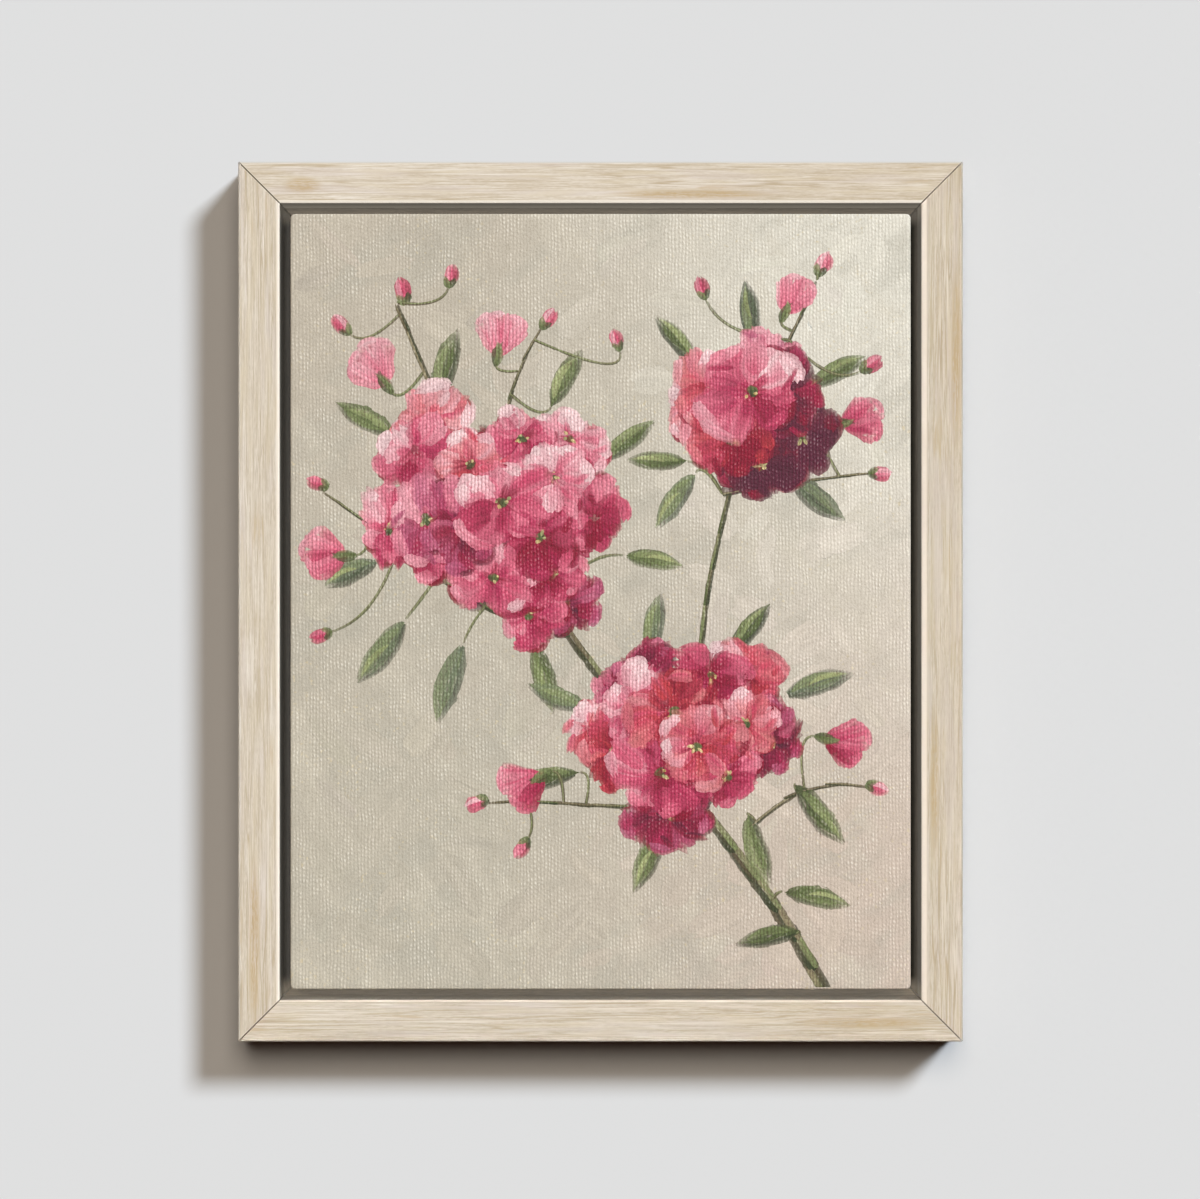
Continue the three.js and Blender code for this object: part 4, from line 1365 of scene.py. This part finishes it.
# x, z, length, the way it points
BUDS = [
    (-170, 182, 14, 130),
    (-130, 204, 15, 105),
    (-98, 214, 13, 80),
    (-34, 186, 13, 55),
    (-186, 78, 13, 160),
    (-184, -22, 13, 195),
    (178, 156, 14, 35),
    (146, 222, 14, 65),
    (66, 206, 13, 110),
    (184, 84, 13, 0),
    (182, -122, 13, -20),
    (-82, -132, 14, 200),
    (-52, -162, 13, 235),
    (10, 172, 12, 110),
]
# x, z, length, width, the way it points, bend
LEAVES = [
    (-106, 132, 50, 18, 75, 5),
    (-134, 110, 46, 17, 152, -4),
    (-146, 26, 40, 17, 205, 4),
    (-128, -12, 54, 20, 232, -4),
    (-90, -28, 56, 19, 252, 5),
    (-44, -26, 50, 17, 285, -3),
    (-32, 128, 44, 17, 62, 3),
    (2, 92, 44, 16, 38, 3),
    (16, 30, 40, 15, -10, 3),
    (56, 92, 40, 15, 178, -2),
    (62, 84, 46, 16, -125, 3),
    (124, 82, 48, 18, -38, -4),
    (136, 140, 46, 16, 28, 4),
    (100, 170, 42, 16, 98, -3),
    (62, 156, 42, 15, 130, 3),
    (32, -36, 44, 16, 80, 3),
    (86, -34, 42, 16, 52, 3),
    (120, -62, 50, 18, 18, 4),
    (128, -120, 52, 18, -50, -4),
    (96, -140, 50, 18, -72, 4),
    (40, -144, 52, 18, 248, -4),
    (-14, -112, 52, 17, 192, 4),
    (120, -190, 46, 16, -12, 4),
    (130, -216, 44, 15, 192, 4),
    (-8, -70, 44, 16, 158, -3),
]
# Paths of the wood, then its thickness at both ends
BOUGHS = [
    ([(150, -262), (112, -176), (30, -96), (-64, 10), (-98, 110), (-134, 196)], 11, 3.4),
    ([(56, -112), (70, -40), (58, 40), (104, 130), (142, 210)], 5.5, 2.4),
    ([(-20, -22), (-80, -16), (-120, 30), (-182, 72)], 4.4, 2.0),
    ([(70, -128), (20, -144), (-28, -126), (-74, -132)], 4.0, 1.9),
    ([(96, -150), (130, -110), (176, -122)], 4.0, 1.9),
    ([(80, 70), (130, 80), (178, 84)], 3.6, 1.8),
    ([(-66, 100), (-60, 150), (-38, 180)], 3.4, 1.8),
]
GOLDEN_TURN = 2.39996  # radians from one flower of a crowd to the next


def crowd(art, piece, x, z, reach_x, reach_z, count, level):
    """A crowd of blossoms, laid from its rim, where they turn away, to its middle."""
    random = art.random
    reach = np.array([reach_x, reach_z])
    middle = np.array([x, z])
    for _ in range(count * 6):
        spot = middle + turned(random.uniform(0, TURN)) * reach * math.sqrt(random.uniform(0, 0.44))
        way = turned(random.uniform(0, TURN)) * random.uniform(7, 13)
        dark, other = (SHADOWS[random.integers(0, len(SHADOWS))] for _ in range(2))
        path = [spot - way, spot, spot + way]
        art.stroke("paint_shadows", path, random.uniform(10, 17), dark, other, 0.04, soft=0.9)
    places = []
    for k in range(count):
        places.append((math.sqrt((k + 0.4) / count), k * GOLDEN_TURN + x + random.normal(0, 0.16)))
    for out, aim in reversed(places):
        spot = middle + turned(aim) * reach * out * 0.9 + random.normal(0, 2.5, 2)
        radius = 35 - 6 * out + random.normal(0, 2.6)
        squash = 1 - 0.42 * out * random.uniform(0.4, 1.0)
        flower = Flower(*spot, radius, aim, squash)
        towards_light = float(turned(aim) @ LIGHT_FROM) * out
        mood = random.choice([-0.26, -0.06, 0.1, 0.22])
        tone = level + 0.26 * towards_light + mood + random.normal(0, 0.05)
        tones = [COOL, WARM, DUSKY][random.choice(3, p=[0.56, 0.32, 0.12])]
        blossom(art, piece, flower, tones, tone)
        if squash > 0.72 or random.random() < 0.5:
            heart(art, piece, flower)
        for _ in range(random.integers(1, 3)):
            side = random.uniform(0, TURN)
            path = [flower.at(side, 0.55), flower.at(side + 0.3, 0.75), flower.at(side + 0.5, 0.95)]
            shade, second = ramp(tones, tone - 0.35), ramp(tones, tone - 0.15)
            art.stroke(piece, path, random.uniform(4, 6.5), shade, second, 0.04, ragged=1.8, soft=0.8)


def scumble(art, count):
    """Broad thin strokes of the ground's own tones, which break up its evenness."""
    random = art.random
    for _ in range(count):
        spot = random.uniform(-1, 1, 2) * (art.half - 14)
        way = turned(random.choice([0.5, 1.1, 2.3]) + random.normal(0, 0.3)) * random.uniform(12, 26)
        bend = spot + random.normal(0, 5, 2)
        tone = ground_tone(*spot) * (1 + random.normal(0.005, 0.035) + random.normal(0, 0.008, 3))
        second = ground_tone(*(spot + way)) * (1 + random.normal(0, 0.02))
        width = random.uniform(9, 24)
        path = [spot - way, bend, spot + way]
        art.stroke("paint_ground", path, width, tone, second, 0.05, ragged=1.6, pick=0, soft=0.85)


GROUND_SEED = 77
GROUND_STROKES = 170
DESIGN_SEED = 2024


def paint_picture():
    """Lays the whole design, from the ground up to the last dabs."""
    art = Painting(GROUND_SEED)
    scumble(art, GROUND_STROKES)
    art.random = random = np.random.default_rng(DESIGN_SEED)
    for path, thick, thin in BOUGHS:
        bough(art, "paint_boughs", path, thick, thin)
    for x, z, length, width, aim, bend in LEAVES:
        aim = math.radians(aim)
        stalk(art, "paint_boughs", np.array([x, z], float), aim)
        greens = GREENS if random.random() < 0.6 else COLD_GREENS
        leaf(art, "paint_leaves", x, z, length, width, aim, bend, greens)
    for x, z, length, aim in BUDS:
        aim = math.radians(aim)
        stalk(art, "paint_boughs", np.array([x, z]) - turned(aim) * length * 0.5, aim)
        bud(art, "paint_buds", x, z, length, aim, COOL, 0.4 + random.uniform(-0.1, 0.12))
    for x, z, radius, aim, level in HALF_OPEN:
        aim = math.radians(aim)
        stalk(art, "paint_boughs", np.array([x, z]) - turned(aim) * radius * 0.7, aim)
        side_flower(art, "paint_buds", Flower(x, z, radius), COOL, level, aim)
    for number, values in enumerate(CROWDS, 1):
        crowd(art, f"paint_blossoms_{number}", *values)
    for piece in art.pieces:
        art.build(piece, ground_paint if piece == "paint_ground" else flower_paint)


paint_picture()

# Lamps from behind and beside, which light all but the wall and the floor

REAR_LAMPS = [
    ("behind_high", (0.5, -1, -0.25), (0.46, 0.46, 0.45), 40),
    ("behind_left", (0.9, -1, 0.25), (0.16, 0.16, 0.165), 80),
    ("behind_low", (-0.5, -1, 0.6), (0.12, 0.12, 0.12), 80),
]
SIDE_LAMPS = [
    ("beside_right", (-1, -0.3, 0), (0.1, 0.08, 0.06), 20),
    ("beside_left", (1, -0.3, 0), (0.14, 0.12, 0.1), 20),
    ("beneath", (0, -0.3, 1), (0.11, 0.096, 0.082), 20),
]
picture = bpy.data.collections.new("picture")
for obj in scene.objects:
    if obj.type == "MESH" and obj not in (wall, floor):
        picture.objects.link(obj)
for values in REAR_LAMPS:
    sun(*values, sampled_twice=False).light_linking.receiver_collection = picture
for values in SIDE_LAMPS:
    sun(*values).light_linking.receiver_collection = picture
